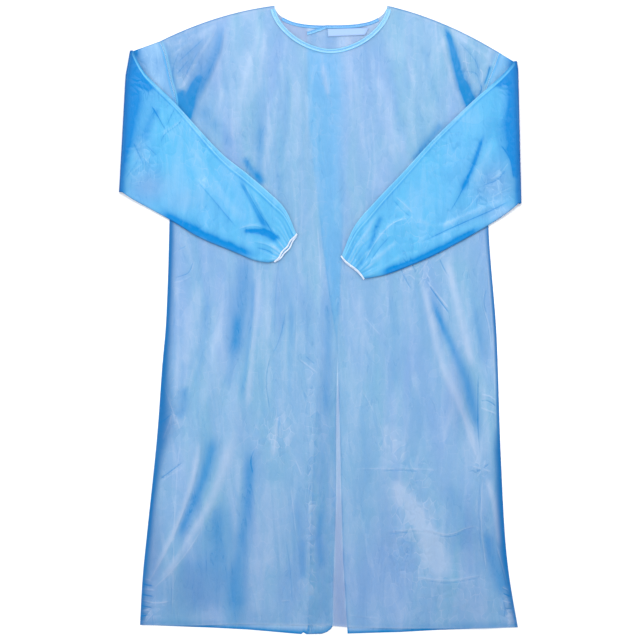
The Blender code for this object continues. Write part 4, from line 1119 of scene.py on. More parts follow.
class Finish:
    """A material and the nodes that drive it."""

    def __init__(self, name):
        self.material = bpy.data.materials.new(name)
        self.material.use_nodes = True
        self.tree = self.material.node_tree
        self.tree.nodes.clear()
        self.shader = self.tree.nodes.new("ShaderNodeBsdfPrincipled")
        output = self.tree.nodes.new("ShaderNodeOutputMaterial")
        self.tree.links.new(self.shader.outputs[0], output.inputs["Surface"])

    def feed(self, socket, value):
        if isinstance(value, Wire):
            self.tree.links.new(value.socket, socket)
        else:
            socket.default_value = value

    def node(self, kind, settings, values, output=0):
        """Add a node: its settings first, then its sockets' values or links."""
        made = self.tree.nodes.new(kind)
        for key, value in settings.items():
            setattr(made, key, value)
        for key, value in values.items():
            self.feed(made.inputs[key], value)
        return Wire(self, made.outputs[output])

    def maths(self, operation, first, second):
        return self.node("ShaderNodeMath", {"operation": operation}, {0: first, 1: second})

    def blend(self, share, first, second):
        """Colour between two colours."""
        settings = {"data_type": "RGBA", "clamp_factor": True}
        return self.node("ShaderNodeMix", settings, {0: share, 6: first, 7: second}, 2)

    def value_of(self, name):
        """A value kept on the piece's points."""
        return self.node("ShaderNodeAttribute", {"attribute_name": name}, {}, "Fac")

    def places(self, stretch=(1.0, 1.0, 1.0)):
        """Places on the piece in metres, stretched along each axis."""
        plain = self.node("ShaderNodeTexCoord", {}, {}, "Object")
        return self.node("ShaderNodeMapping", {}, {"Vector": plain, "Scale": stretch})

    def noise(self, places, scale, detail=2.0, roughness=0.5, distortion=0.0):
        values = {"Vector": places, "Scale": scale, "Detail": detail,
                  "Roughness": roughness, "Distortion": distortion}
        return self.node("ShaderNodeTexNoise", {"noise_dimensions": "2D"}, values, "Fac")

    def warped(self, places, scale, amount):
        """Places pushed about by noise, so that a pattern on them isn't regular."""
        push = self.node("ShaderNodeTexNoise", {"noise_dimensions": "2D"},
                         {"Vector": places, "Scale": scale, "Detail": 1.0}, "Color")
        values = {0: push, 1: (amount, amount, amount), 2: places}
        return self.node("ShaderNodeVectorMath", {"operation": "MULTIPLY_ADD"}, values)

    def cell_edges(self, places, scale):
        """Distance to the edges of straight-sided cells."""
        settings = {"feature": "DISTANCE_TO_EDGE", "voronoi_dimensions": "2D"}
        return self.node("ShaderNodeTexVoronoi", settings, {"Vector": places, "Scale": scale})

    def cell_tones(self, places, scale):
        """One random value for each straight-sided cell."""
        settings = {"feature": "F1", "voronoi_dimensions": "2D"}
        values = {"Vector": places, "Scale": scale}
        return self.node("ShaderNodeTexVoronoi", settings, values, "Color")

    def bump(self, height, strength, distance):
        values = {"Height": height, "Strength": strength, "Distance": distance}
        self.feed(self.shader.inputs["Normal"], self.node("ShaderNodeBump", {}, values))

    def set(self, **values):
        """Set or link the shader's own sockets, named with spaces as underscores."""
        for key, value in values.items():
            self.feed(self.shader.inputs[key.replace("_", " ")], value)


def film_finish(name, shades, alpha, plated):
    """Thin glossy film: drifting tint, fine crinkle lines, paler lifts with painted highlight,
    deeper folds with painted shade, edges.
    """
    body, cool, pale, deep, edge, rich, thin, seam = (tuple(shade) for shade in shades)
    made = Finish(name)
    streaks = made.noise(made.places((1.0, 0.22, 1.0)), 13.0, 3.0, 0.6, 0.5)
    colour = made.blend(((streaks - 0.5) * 2.8 + 0.5).held(), body, cool)
    crumpled = made.value_of("crumple")
    fine = made.noise(made.places((1.0, 0.7, 1.0)), 60.0, 2.0, 0.6)
    long = made.noise(made.places((1.0, 0.2, 1.0)), 44.0, 3.0, 0.55, 0.7)
    furrows = made.maths("ABSOLUTE", long - 0.5, 0.0)
    bent = made.warped(made.places((1.0, 0.7, 1.0)), 34.0, 0.016)
    facets = made.cell_edges(bent, 84.0)
    plates = made.cell_tones(bent, 84.0) - 0.5
    broad = (made.cell_tones(made.warped(made.places(), 9.0, 0.05), 15.0) - 0.5) * plated
    patches = ((fine - 0.42) * 6.0).held()
    tone = made.value_of("tone") * 1.5
    # Paler lines on the crinkles' cell edges are painted highlight; darker lines along the furrows
    # are painted shade
    pale_lines = ((0.07 - facets) * 16.0).held() * patches * crumpled * 0.9
    deep_lines = ((0.022 - furrows) * 40.0).held() * patches * (crumpled * 0.3 + 0.2)
    # A sharp line: painted highlight on the line with a painted shadow strip beside it; a dark line
    # swaps the two
    from_line, crisp = made.value_of("line"), made.value_of("crisp")
    on_line = (1.0 - made.maths("ABSOLUTE", from_line, 0.0) / 1.5).held()
    beside = (1.0 - made.maths("ABSOLUTE", from_line + 2.4, 0.0) / 1.7).held()
    bright, dark = crisp.held(), (-crisp).held()
    ridge = on_line * crisp
    # Soft lighter and darker streaks and cells; each cell's own tone is painted shading of a tilted
    # facet of crumpled film
    varied = (long - 0.5) * 0.9 + plates * crumpled * 0.9 + broad
    # Shares of the paler colour (painted highlight, and film lifting off the layers) and of the
    # deeper one (painted shade, and film in layers)
    lit_and_lifted = (tone + pale_lines + on_line * bright + beside * dark * 0.6 + varied).held()
    gathered = (deep_lines - tone + beside * bright * 0.8 + on_line * dark - varied * 0.5).held()
    turned = made.value_of("edge").held()
    colour = made.blend(made.value_of("layers").held(), colour, rich)
    colour = made.blend(lit_and_lifted, colour, pale)
    colour = made.blend(gathered, colour, deep)
    grey = made.value_of("grey").held()
    colour = made.blend(grey, colour, thin)
    colour = made.blend(made.value_of("bead").held(), colour, seam)
    colour = made.blend(turned, colour, edge)
    made.bump(facets * (crumpled * 1.2 + 0.1) + furrows * 0.6 + ridge * 0.12, 0.5, 0.004)
    rough = 0.30 + (fine - 0.5) * 0.2 + turned * 0.3
    solid = turned * 0.95 + (-tone).held() * 0.7 + grey * 0.2
    cover = (alpha + solid * (1.0 - alpha)) * (1.0 - made.value_of("fade"))
    coat = (0.12 + lit_and_lifted * 0.4) * (1.0 - gathered) * (1.0 - turned)
    made.set(Base_Color=colour, Roughness=rough.held(0.16, 0.7), Alpha=cover.held(), IOR=1.25,
             Coat_Weight=coat.held(), Coat_Roughness=0.12, Coat_IOR=1.5)
    return made.material


def binding_finish(colours):
    """Doubled strip of film, paler along its two beads and deeper in the stitched valley."""
    made = Finish("binding_film")
    fine = made.noise(made.places(), 160.0, 2.0, 0.5, 0.2)
    line = made.value_of("line")
    colour = made.blend(line.held(), tuple(colours.binding_valley), tuple(colours.binding))
    colour = made.blend(made.value_of("edge").held(), colour, tuple(colours.deep))
    made.bump(fine, 0.3, 0.0008)
    made.set(Base_Color=colour, Roughness=(0.32 + (fine - 0.5) * 0.2).held(), Alpha=0.9,
             IOR=1.6, Coat_Weight=0.3, Coat_Roughness=0.2)
    return made.material


def elastic_finish(colours):
    """Covered elastic: pale, matt, with fine gathered ribs across it."""
    made = Finish("cuff_elastic")
    fine = made.noise(made.places(), 420.0, 2.0, 0.5)
    rib = made.value_of("rib")
    shade = (rib * 0.6 + (fine - 0.5) * 0.5 + 0.1).held()
    colour = made.blend(shade, tuple(colours.elastic), tuple(colours.elastic_shade))
    made.bump(fine + rib, 0.4, 0.0006)
    made.set(Base_Color=colour, Roughness=(0.62 + (fine - 0.5) * 0.3).held(), IOR=1.5)
    return made.material


def tape_finish(colours):
    """Pale nonwoven strip with a fine pressed grid."""
    made = Finish("fastening_tape")
    fine = made.noise(made.places((1.0, 2.2, 1.0)), 380.0, 3.0, 0.6)
    grid = made.node("ShaderNodeTexVoronoi", {"feature": "F1"},
                     {"Vector": made.places(), "Scale": 620.0}, "Distance")
    colour = made.blend((fine * 0.8).held(), tuple(colours.tape), tuple(colours.tape_shade))
    made.bump(fine * 0.6 + grid * 0.4, 0.35, 0.0004)
    made.set(Base_Color=colour, Roughness=(0.7 + (fine - 0.5) * 0.2).held(), IOR=1.45)
    return made.material


def thread_finish(colours):
    """Fine pale sewing thread."""
    made = Finish("sewing_thread")
    twist = made.noise(made.places((1.0, 1.0, 1.0)), 900.0, 1.0)
    made.set(Base_Color=made.blend(twist, tuple(colours.elastic), tuple(colours.binding)),
             Roughness=(0.5 + (twist - 0.5) * 0.3).held(), IOR=1.5)
    return made.material


def floor_finish(colours):
    """Matt white paper sweep."""
    made = Finish("floor_paper")
    grain = made.noise(made.places(), 60.0, 2.0)
    made.set(Base_Color=made.blend(grain, tuple(colours.floor), tuple(colours.floor)),
             Roughness=0.9, IOR=1.3)
    return made.material


def colour_property(label, text, value):
    return FloatVectorProperty(name=label, description=text, subtype="COLOR", size=4,
                               min=0.0, max=1.0, default=(*value, 1.0))


class ApronSizes(PropertyGroup):
    cell: FloatProperty(name="Front mesh cell", description="Mesh size of the front film",
                        default=2.85 * MM, min=1.5 * MM, max=12.0 * MM, unit="LENGTH",
                        precision=4)
    back_cell: FloatProperty(name="Back mesh cell", description="Mesh size of the back film",
                             default=4.6 * MM, min=2.0 * MM, max=12.0 * MM, unit="LENGTH",
                             precision=4)
    sleeve_cell: FloatProperty(name="Sleeve mesh cell", description="Mesh size of the sleeves",
                               default=3.0 * MM, min=1.5 * MM, max=12.0 * MM, unit="LENGTH",
                               precision=4)
    crumple: FloatProperty(name="Crumple height", description="Height of the short creases",
                           default=0.34 * MM, min=0.0, max=1.0 * MM, unit="LENGTH",
                           precision=5)
    streak: FloatProperty(name="Streak height", description="Height of the long soft waves",
                          default=0.55 * MM, min=0.0, max=1.5 * MM, unit="LENGTH",
                          precision=5)
    stitch: FloatProperty(name="Stitch pitch", description="Distance between neck stitches",
                          default=3.4 * MM, min=1.0 * MM, max=8.0 * MM, unit="LENGTH",
                          precision=4)
    cuff_ribs: IntProperty(name="Cuff ribs", description="Gathered ribs round one cuff",
                           default=34, min=8, max=80)


class ApronColours(PropertyGroup):
    body: colour_property("Film", "Film over the body", (0.218, 0.436, 0.752))
    cool: colour_property("Film, cooler", "Cooler drift of the film", (0.198, 0.472, 0.718))
    # Paler film where it lifts off the layers, and the colour of painted highlight
    pale: colour_property("Film, lifted", "Film lifted off the layers", (0.465, 0.622, 0.850))
    # Deeper film where it lies in layers, and the colour of painted shade
    deep: colour_property("Film, gathered", "Film in several layers", (0.000, 0.225, 0.570))
    edge: colour_property("Film, turned edge", "Film seen along its depth",
                          (0.000, 0.130, 0.380))
    rich: colour_property("Film, lapped", "Film over the lapped back", (0.165, 0.550, 0.935))
    thin: colour_property("Film, greyer", "Fewer layers over the floor", (0.070, 0.190, 0.480))
    seam: colour_property("Film, seam", "Welded seams of the film", (0.200, 0.640, 0.920))
    sleeve: colour_property("Sleeve film", "Film of the sleeves", (0.148, 0.530, 0.885))
    sleeve_cool: colour_property("Sleeve film, cooler", "Cooler drift of the sleeves",
                                 (0.125, 0.545, 0.880))
    # Sleeves: paler film where it lifts, and the colour of painted highlight
    sleeve_pale: colour_property("Sleeve film, lifted", "Lifted film of the sleeves",
                                 (0.380, 0.660, 0.920))
    # Sleeves: deeper film in layers, and the colour of painted shade
    sleeve_deep: colour_property("Sleeve film, gathered", "Gathered film of the sleeves",
                                 (0.000, 0.228, 0.620))
    sleeve_edge: colour_property("Sleeve film, fold", "Film of the sleeves at their folds",
                                 (0.000, 0.060, 0.250))
    binding: colour_property("Binding", "Beads of the neck binding", (0.220, 0.570, 0.860))
    binding_valley: colour_property("Binding valley", "Between the binding's beads",
                                    (0.070, 0.350, 0.760))
    elastic: colour_property("Elastic", "Cuff elastic", (0.800, 0.860, 0.960))
    elastic_shade: colour_property("Elastic shade", "Between the cuff's ribs",
                                   (0.360, 0.520, 0.780))
    tape: colour_property("Tape", "Fastening strip", (0.350, 0.510, 0.800))
    tape_shade: colour_property("Tape shade", "Fibres of the strip", (0.290, 0.450, 0.760))
    floor: colour_property("Floor", "Paper floor", (0.970, 0.972, 0.975))


def body_film(colours):
    """The body film's material, made once."""
    shades = (colours.body, colours.cool, colours.pale, colours.deep, colours.edge,
              colours.rich, colours.thin, colours.seam)
    return bpy.data.materials.get("body_film") or film_finish("body_film", shades, 0.50, 0.06)


def sleeve_film(colours):
    """The sleeve film's material, made once."""
    shades = (colours.sleeve, colours.sleeve_cool, colours.sleeve_pale, colours.sleeve_deep,
              colours.sleeve_edge, colours.body, colours.thin, colours.seam)
    return bpy.data.materials.get("arm_film") or film_finish("arm_film", shades, 0.66, 0.36)


def front_columns(cell):
    """Top edge places of the front, closer at the side edges and the steep neck ends."""
    tip_left, tip_right = SHOULDER_TIP_LEFT[0], SHOULDER_TIP_RIGHT[0]
    return np.concatenate([
        spaced(tip_left, tip_left + EDGE_STRIP, EDGE_CELL),
        spaced(tip_left + EDGE_STRIP, NECK_LEFT_X, cell),
        neck_places(NECK_LEFT_X, NECK_RIGHT_X, int(2.0 * NECK_REACH / cell)),
        spaced(NECK_RIGHT_X, tip_right - EDGE_STRIP, cell),
        spaced(tip_right - EDGE_STRIP, tip_right, EDGE_CELL), [tip_right]])


def hem_places(count, hem_left, hem_right):
    """As many hem places as top ones, evened out between the two side strips."""
    inner_left, inner_right = hem_left + EDGE_STRIP, hem_right - EDGE_STRIP
    inner = np.linspace(inner_left, inner_right, count - 2 * int(round(EDGE_STRIP / EDGE_CELL)))
    return np.concatenate([spaced(hem_left, inner_left, EDGE_CELL), inner,
                           spaced(inner_right, hem_right, EDGE_CELL)[1:], [hem_right]])


def front_film(sizes):
    """Places, heights and values of the front."""
    cell = sizes.cell / MM
    tops_x = front_columns(cell)
    hems_x = hem_places(len(tops_x), FRONT_HEM[0][0], FRONT_HEM[-1][0])
    tops = np.stack([tops_x, top_y(tops_x, FRONT_NECK)], -1)
    hems = np.stack([hems_x, rising(FRONT_HEM, hems_x)], -1)
    lefts, rights = side_edge(-1, cell, 0.0), side_edge(1, cell, 0.0)
    x, y = panel_plan(tops, hems, lefts, rights)
    rise, tone, line, crisp = crease_field(FRONT_CREASES, x, y)
    strength, short = crumple_strength(x, y), crumple(x, y, FRONT_CRUMPLE_SEED)
    slanted = soft_noise(x + STREAK_SLANT * y, y, *NARROW_STREAKS)
    streak = soft_noise(x, y, *WIDE_STREAKS) + NARROW_SHARE * slanted
    rise += sizes.streak / MM * streak
    rise += sizes.crumple / MM * strength * short
    # Painted shading: paler where the waves and crumples rise
    tone += STREAK_SHADING * streak + CRUMPLE_SHADING * (strength - 0.5 * CRUMPLE_EVERYWHERE) * short
    z = front_lower(x, y) + FILM_DEPTH + smooth(fold_clear(x, y) * CLEAR_GAIN) * rise
    from_left, from_right = x - lefts[:, :1], rights[:, :1] - x
    side = np.minimum(from_left, from_right)
    width, peak = (np.where(from_left < from_right, falling(EDGE_BAND_ROWS, k, y),
                            falling(EDGE_BAND_ROWS, k + 1, y)) for k in (1, 3))
    edge = peak * np.exp(-np.maximum(0.0, side / width) ** 3) * ramp(ARMPIT_Y - y, *SIDE_BAND_RAMP)
    on_armhole = ramp(y, ARMPIT_Y, ARMHOLE_RAMP)
    tone += on_armhole * band(side, ARMHOLE_SHADE)
    tone += band(y - rising(FRONT_HEM, x), FRONT_HEM_LINE)
    shoulder = top_y(x, FRONT_NECK) - y
    at_seam = (shoulder < SHOULDER_REACH) & ((x < NECK_LEFT_X) | (x > NECK_RIGHT_X))
    tone += np.where(at_seam, band(shoulder, SHOULDER_LINE), 0.0)
    edge = np.maximum(edge, np.where(at_seam, band(shoulder, SHOULDER_EDGE), 0.0))
    lapped, parted = lap_shares(x, y)
    gap_grey = mix(*GAP_GREYS, ramp(y, *GAP_RAMP)) + GAP_TOP_GREY * ramp(y, *GAP_TOP_RAMP)
    return x, y, z, {"tone": tone, "edge": edge, "crumple": strength,
                     "bead": on_armhole * band(side, ARMHOLE_BEAD),
                     "layers": LAPPED_LAYERS * lapped * ramp(y, *LAPPED_RAMP),
                     "grey": np.maximum(patch_field(GREY_PATCHES, x, y), parted * gap_grey),
                     "line": line, "crisp": crisp}


def lap_shares(x, y):
    """Where the right back panel laps the left one, and where the two have parted."""
    left_edge, right_edge = opening_edge(y, 1), opening_edge(y, 2)
    soft = mix(*LAP_SOFT, ramp(y, *LAP_SOFT_RAMP))
    lapped = over_edge(left_edge - x, soft, LAP_LEAD) * over_edge(x - right_edge, LAP_EDGE)
    return lapped, over_edge(x - left_edge, GAP_EDGE) * over_edge(right_edge - x, GAP_EDGE)


def back_values(x, y, seed, hem):
    """Values of a back panel: faint streaks, even crumpling and a darker bottom strip."""
    streak = soft_noise(x, y, *BACK_STREAKS, seed)
    above = y - rising(hem, x)
    # Painted shading of the waves: paler where they rise
    return {"tone": STREAK_SHADING * streak + band(above, BACK_HEM_SHADE),
            "edge": band(above, BACK_HEM_EDGE),
            "grey": over_edge(y - top_y(x, FRONT_NECK), *NECK_EDGE),
            "crumple": np.full(np.shape(x), BACK_CRUMPLE)}, streak


class APRON_OT_front(Operator):
    """Make the front film with its folds, creases and rolled sides"""

    bl_idname = "apron.front"
    bl_label = "Front"

    def execute(self, context):
        sizes, colours = context.scene.apron_sizes, context.scene.apron_colours
        piece = sheet_piece("film_front", *front_film(sizes))
        finish_piece(piece, body_film(colours), "front")
        return {"FINISHED"}


class APRON_OT_backs(Operator):
    """Make the two back panels and the left one's turned-in strip"""

    bl_idname = "apron.backs"
    bl_label = "Back panels"

    def execute(self, context):
        sizes, colours = context.scene.apron_sizes, context.scene.apron_colours
        finish = body_film(colours)
        cell = sizes.back_cell / MM
        for maker, name, node, sewn in (
                (self.left, "film_back_left", "back_left",
                 ["binding_back_left", "binding_back_left_stitches"]),
                (self.right, "film_back_right", "back_right",
                 ["binding_back_right", "binding_back_right_stitches", "neck_tape_strip"]),
                (self.facing, "film_back_facing", "back_left_facing", [])):
            piece = sheet_piece(name, *maker(cell))
            finish_piece(piece, finish, node)
            rests = "film_back_left" if node != "back_left" else "floor"
        return {"FINISHED"}

    @staticmethod
    def left(cell):
        tip, neck_end = SHOULDER_TIP_LEFT[0], OPENING_ROWS[0][1]
        tops_x = np.concatenate([spaced(tip, NECK_LEFT_X, cell),
                                 neck_places(NECK_LEFT_X, neck_end, int(BACK_LEFT_NECK / cell)),
                                 [neck_end]])
        shares = np.arange(len(tops_x)) / (len(tops_x) - 1)
        hems_x = mix(BACK_LEFT_HEM[0][0], BACK_LEFT_HEM[-1][0], shares)
        corners = [point[0] for point in BACK_LEFT_HEM[3:-1]]
        for corner in corners:
            hems_x[np.argmin(np.abs(hems_x - corner))] = corner
        tops = np.stack([tops_x, top_y(tops_x, BACK_NECK)], -1)
        hems = np.stack([hems_x, rising(BACK_LEFT_HEM, hems_x)], -1)
        lefts = side_edge(-1, cell, BACK_SIDE_INSET)
        down = mix(tops[-1, 1], hems[-1, 1],
                   (lefts[:, 1] - lefts[0, 1]) / (lefts[-1, 1] - lefts[0, 1]))
        rights = np.stack([opening_edge(down, 1), down], -1)
        rights[0], rights[-1] = tops[-1], hems[-1]
        x, y = panel_plan(tops, hems, lefts, rights)
        values, streak = back_values(x, y, BACK_LEFT_SEED, BACK_LEFT_HEM)
        free = rights[:, :1] - x
        high_up = ramp(y, *HIGH_UP)
        values["tone"] += (1.0 - high_up) * band(free, BACK_LEFT_SHADE)
        values["grey"] *= BACK_LEFT_GREY * over_edge(opening_edge(y, 2) - x, NECK_LAP_EDGE)
        values["fade"] = high_up * band(free, BACK_LEFT_FADE)
        return x, y, BACK_REST + BACK_WAVE * streak, values

    @staticmethod
    def right(cell):
        tip, free_x = SHOULDER_TIP_RIGHT[0], OPENING_ROWS[0][2]
        tops_x = np.concatenate([neck_places(free_x, NECK_RIGHT_X, int(BACK_RIGHT_NECK / cell)),
                                 spaced(NECK_RIGHT_X, tip, cell), [tip]])
        shares = np.arange(len(tops_x)) / (len(tops_x) - 1)
        hems_x = mix(BACK_RIGHT_HEM[0][0], BACK_RIGHT_HEM[-1][0], shares)
        tops = np.stack([tops_x, back_right_top(tops_x)], -1)
        hems = np.stack([hems_x, rising(BACK_RIGHT_HEM, hems_x)], -1)
        rights = side_edge(1, cell, BACK_SIDE_INSET)
        down = mix(tops[0, 1], hems[0, 1],
                   (rights[:, 1] - rights[0, 1]) / (rights[-1, 1] - rights[0, 1]))
        lefts = np.stack([opening_edge(down, 2), down], -1)
        lefts[0], lefts[-1] = tops[0], hems[0]
        x, y = panel_plan(tops, hems, lefts, rights)
        values, streak = back_values(x, y, BACK_RIGHT_SEED, BACK_RIGHT_HEM)
        free = x - lefts[:, :1]
        high_up = ramp(y, *HIGH_UP)
        values["tone"] += (1.0 - high_up) * band(free, BACK_RIGHT_SHADE)
        values["grey"] *= mix(*BACK_RIGHT_GREYS, ramp(x, *BACK_RIGHT_GREY_RAMP))
        values["fade"] = high_up * band(free, BACK_RIGHT_FADE)
        return x, y, back_right_lower(x, y) + BACK_REST + BACK_WAVE * streak, values

    @staticmethod
    def facing(cell):
        y_row = spaced(FACING_ROWS[0][0], FACING_ROWS[-1][0], FACING_CELL)
        y_row = np.append(y_row, FACING_ROWS[-1][0])
        across = np.linspace(0.0, 1.0, FACING_COLUMNS)
        wobble = soft_noise(y_row, y_row, *FACING_WOBBLES)
        left = falling(FACING_ROWS, 1, y_row) + FACING_WOBBLE * wobble
        right = opening_edge(y_row, 1) - FACING_INSET
        x = mix(left[:, None], right[:, None], across[None])
        down = (y_row - y_row[0]) / (y_row[-1] - y_row[0])
        y = mix(y_row[0], rising(BACK_LEFT_HEM, x) + FACING_HEM_GAP, down[:, None])
        values, streak = back_values(x, y, FACING_SEED, BACK_LEFT_HEM)
        inner = x - left[:, None]
        pucker = soft_noise(x, y, *FACING_PUCKERS) * band(inner, FACING_GATHER)
        # Painted shading of the puckers, which also raise the strip
        values["tone"] += PUCKER_SHADING * pucker + band(inner, FACING_SHADE) + FACING_TONE
        values["crumple"][:] = 1.0
        values["fade"] = FACING_FADE * (1.0 - ramp(-y, -FACING_ROWS[0][0], FACING_FADE_RUN))
        z = LAYER + BACK_REST + FACING_WAVE * streak + FACING_PUCKER * pucker
        return x, y, z, values


def armhole_at(sleeve, across):
    """Places on the armhole's curve, just clear of the body."""
    points = armhole_places(sleeve["side"], across)
    points[:, 0] += sleeve["side"] * SEAM_GAP
    return points


def station_at(sleeve, place):
    """Both edges of the sleeve at a place counted in stations."""
    curve = through(sleeve["stations"], STATION_STEPS)
    index = place * STATION_STEPS
    low = int(min(index, len(curve) - 2))
    return mix(curve[low], curve[low + 1], index - low)


def cuff_direction(sleeve):
    """Unit direction out of the cuff, square to its edge."""
    cuff = sleeve["stations"][-1]
    run = (cuff[2] - cuff[0], cuff[3] - cuff[1])
    size = math.hypot(*run)
    return sleeve["side"] * run[1] / size, -sleeve["side"] * run[0] / size


def forearm_ring(sleeve, place, across, depth, beyond=0.0):
    """One ring of the sleeve folded in over the front, with its relief and tone."""
    edges = station_at(sleeve, place)
    fold = evenly(sleeve["fold"], across)
    to_fold = clamp(1.0 - place)
    x = mix(mix(edges[0], edges[2], across), fold[:, 0], to_fold)
    y = mix(mix(edges[1], edges[3], across), fold[:, 1], to_fold)
    last = len(sleeve["stations"]) - 1
    direction = cuff_direction(sleeve)
    under = depth > WALL
    at_cuff = smooth(place - last + 1.0)
    gape = sleeve["cuff_gape"] * at_cuff * 4.0 * clamp(across) * clamp(1.0 - across)
    sway = at_cuff * sleeve["sway"] * np.sin(2.0 * math.pi * (sleeve["sways"] * across + 0.1))
    shift = beyond + sway + np.where(under, gape, 0.0)
    x, y = x + direction[0] * shift, y + direction[1] * shift
    settled = smooth(place / SETTLE_STATIONS)
    rest = highest_near(front_upper, x, y, FOREARM_PROBE) + FOREARM_CLEAR
    top = mix(2.0 * FOLD_RADIUS, rest + TUBE_DEPTH, settled)
    width = math.dist(edges[:2], edges[2:])
    inside = smooth(np.minimum(across, 1.0 - across) / RIM_SHARE)
    gather = 0.5 - 0.5 * np.cos(2.0 * math.pi * GATHERS * clamp(across))
    near_cuff = smooth((place - GATHER_START) / (last - GATHER_START))
    top = top + np.where(under, 0.0, inside * settled * (
        fold_height(sleeve["folds"], x, y) + gather * GATHER_HEIGHT * near_cuff))
    rise, tone, line, crisp = crease_field(sleeve["creases"], x, y)
    round_place, along_place = GATHER_PLACES
    fine = soft_noise(round_place * across, along_place * place + 0.0 * across, *CUFF_GATHERS)
    # The same noise raises the cuff gathers and gives them painted shading
    rise = rise + near_cuff * GATHER_RISE * fine
    tone = tone + near_cuff * GATHER_SHADING * fine
    seam = np.interp(place, *zip(*sleeve["seam"]))
    from_seam = across * width
    bead = band(from_seam, ARM_EDGE_BEAD) + band(from_seam - seam, ARM_SEAM_BEAD)
    bead = np.where(under, 0.0, bead)
    rise = rise + BEAD_RISE * bead
    between = smooth(from_seam / 2.0 - 0.5) * smooth((seam - from_seam) / 3.0 + 0.5)
    tone = tone + SEAM_STRIP_TONE * between + band(from_seam - seam, ARM_SEAM_SHADE)
    for place_of_line, strength in (EDGE_LINE, (seam, SEAM_LINE_STRENGTH)):
        gap = from_seam - place_of_line
        line, crisp = stronger(line, crisp, gap, strength * bell(gap, LINE_REACH))
    from_lower = (1.0 - across) * width
    edge = np.where(under, LOWER_EDGE_UNDER, LOWER_EDGE) * bell(from_lower, LOWER_EDGE_WIDTH)
    flat = smooth(np.minimum(from_seam, from_lower) / FLAT_RIM)
    z = top - depth + np.where(under, 0.0, settled * flat * rise)
    return x, y, z, {"tone": np.where(under, UNDER_TONE_SHARE * tone + UNDER_TONE, tone),
                     "edge": edge,
                     "bead": bead, "line": line, "crisp": np.where(under, 0.0, crisp),
                     "layers": patch_field(sleeve["clear"], x, y)}


def sleeve_loop(count):
    """The flattened tube's loop, as shares across and depths, over the top and back under."""
    over = np.arange(count + 1) / count
    across = np.concatenate([over, over[::-1]])
    depth = np.concatenate([np.full(count + 1, FILM_DEPTH),
                            np.full(count + 1, TUBE_DEPTH - FILM_DEPTH)])
    return across, depth


def sleeve_rings(sleeve, cell):
    """All rings of one sleeve, from the armhole round the elbow fold to the cuff."""
    across, depth = sleeve_loop(int(ARM_WIDTH / cell))
    rings, parts = [], []
    side = sleeve["side"]
    armhole = armhole_at(sleeve, across)
    fold = evenly(sleeve["fold"], across)
    reach = float(np.hypot(*(fold - armhole).T).mean())
    upper_steps = max(LEAST_UPPER_RINGS, int(reach / cell))
    none = np.zeros(len(across))
    for step in range(upper_steps):
        share = step / upper_steps
        x, y = mix(armhole, fold, share).T
        z = np.where(depth > WALL, depth, BACK_REST)
        shown = depth > WALL
        wave = soft_noise(x, y, *UPPER_ARM_WAVES)
        bead = band(share * reach, UPPER_ARM_BEAD)
        along = share * np.hypot(*(fold - armhole).T)
        # Painted shade on the upper arm beside the armhole seam
        beside = bell(along - 2.0, 2.5 + 6.0 * across ** 2)
        corner = np.exp(-((x - fold[0, 0]) / 16.0) ** 2 - ((y - fold[0, 1]) / 24.0) ** 2)
        # The wave's tone is painted shading of the wave that also lifts the film
        tone = np.where(shown, 0.12 + 0.25 * wave - 0.6 * beside - 0.9 * corner, 0.0)
        deepening = 0.8 * smooth((share - 0.35) / 0.6) * smooth(across / 0.2)
        rings.append(np.stack([x, y, z + np.where(shown, 0.25 * wave, 0.0)], -1))
        parts.append({"tone": tone - deepening, "edge": none, "line": none, "crisp": none,
                      "bead": np.where(shown, bead, 0.0),
                      "layers": none + UPPER_ARM_LAYERS[side]})
    for step in range(BEND_STEPS + 1):
        turn = math.pi * step / BEND_STEPS
        radius = FOLD_RADIUS - depth
        x = fold[:, 0] + side * radius * math.sin(turn)
        z = FOLD_RADIUS - radius * math.cos(turn)
        rings.append(np.stack([x, fold[:, 1], z], -1))
        shade = 0.58 + 0.4 * math.sin(turn) ** 2 if step else 0.0
        parts.append({"tone": none - 0.6, "edge": none + shade, "line": none, "crisp": none,
                      "bead": none, "layers": none})
    last = len(sleeve["stations"]) - 1
    length = sum(math.dist(((a[0] + a[2]) / 2, (a[1] + a[3]) / 2),
                           ((b[0] + b[2]) / 2, (b[1] + b[3]) / 2))
                 for a, b in zip(sleeve["stations"], sleeve["stations"][1:]))
    steps = int(length / cell)
    for step in range(1, steps + 1):
        place = last * step / steps
        x, y, z, values = forearm_ring(sleeve, place, across, depth)
        past_fold = np.abs(x - fold[:, 0])
        upper = ramp(y, *UPPER_FOREARM)
        beside = np.where(depth < WALL, 0.60, 0.1) * np.exp(-past_fold / 8.0)
        wave = soft_noise(x, y, *FOREARM_WAVES)
        values["tone"] += np.where(depth < WALL, FOREARM_WAVE_TONE * wave, 0.0)
        values["tone"] -= (0.6 + 0.3 * upper) * bell(past_fold, 7.0 + 13.0 * upper)
        values["tone"] += upper * band(past_fold, FOREARM_SHADE)
        values["edge"] = np.maximum(values["edge"], beside)
        rings.append(np.stack([x, y, z], -1))
        parts.append(values)
    return np.array(rings), {key: np.array([part[key] for part in parts]) for key in parts[0]}


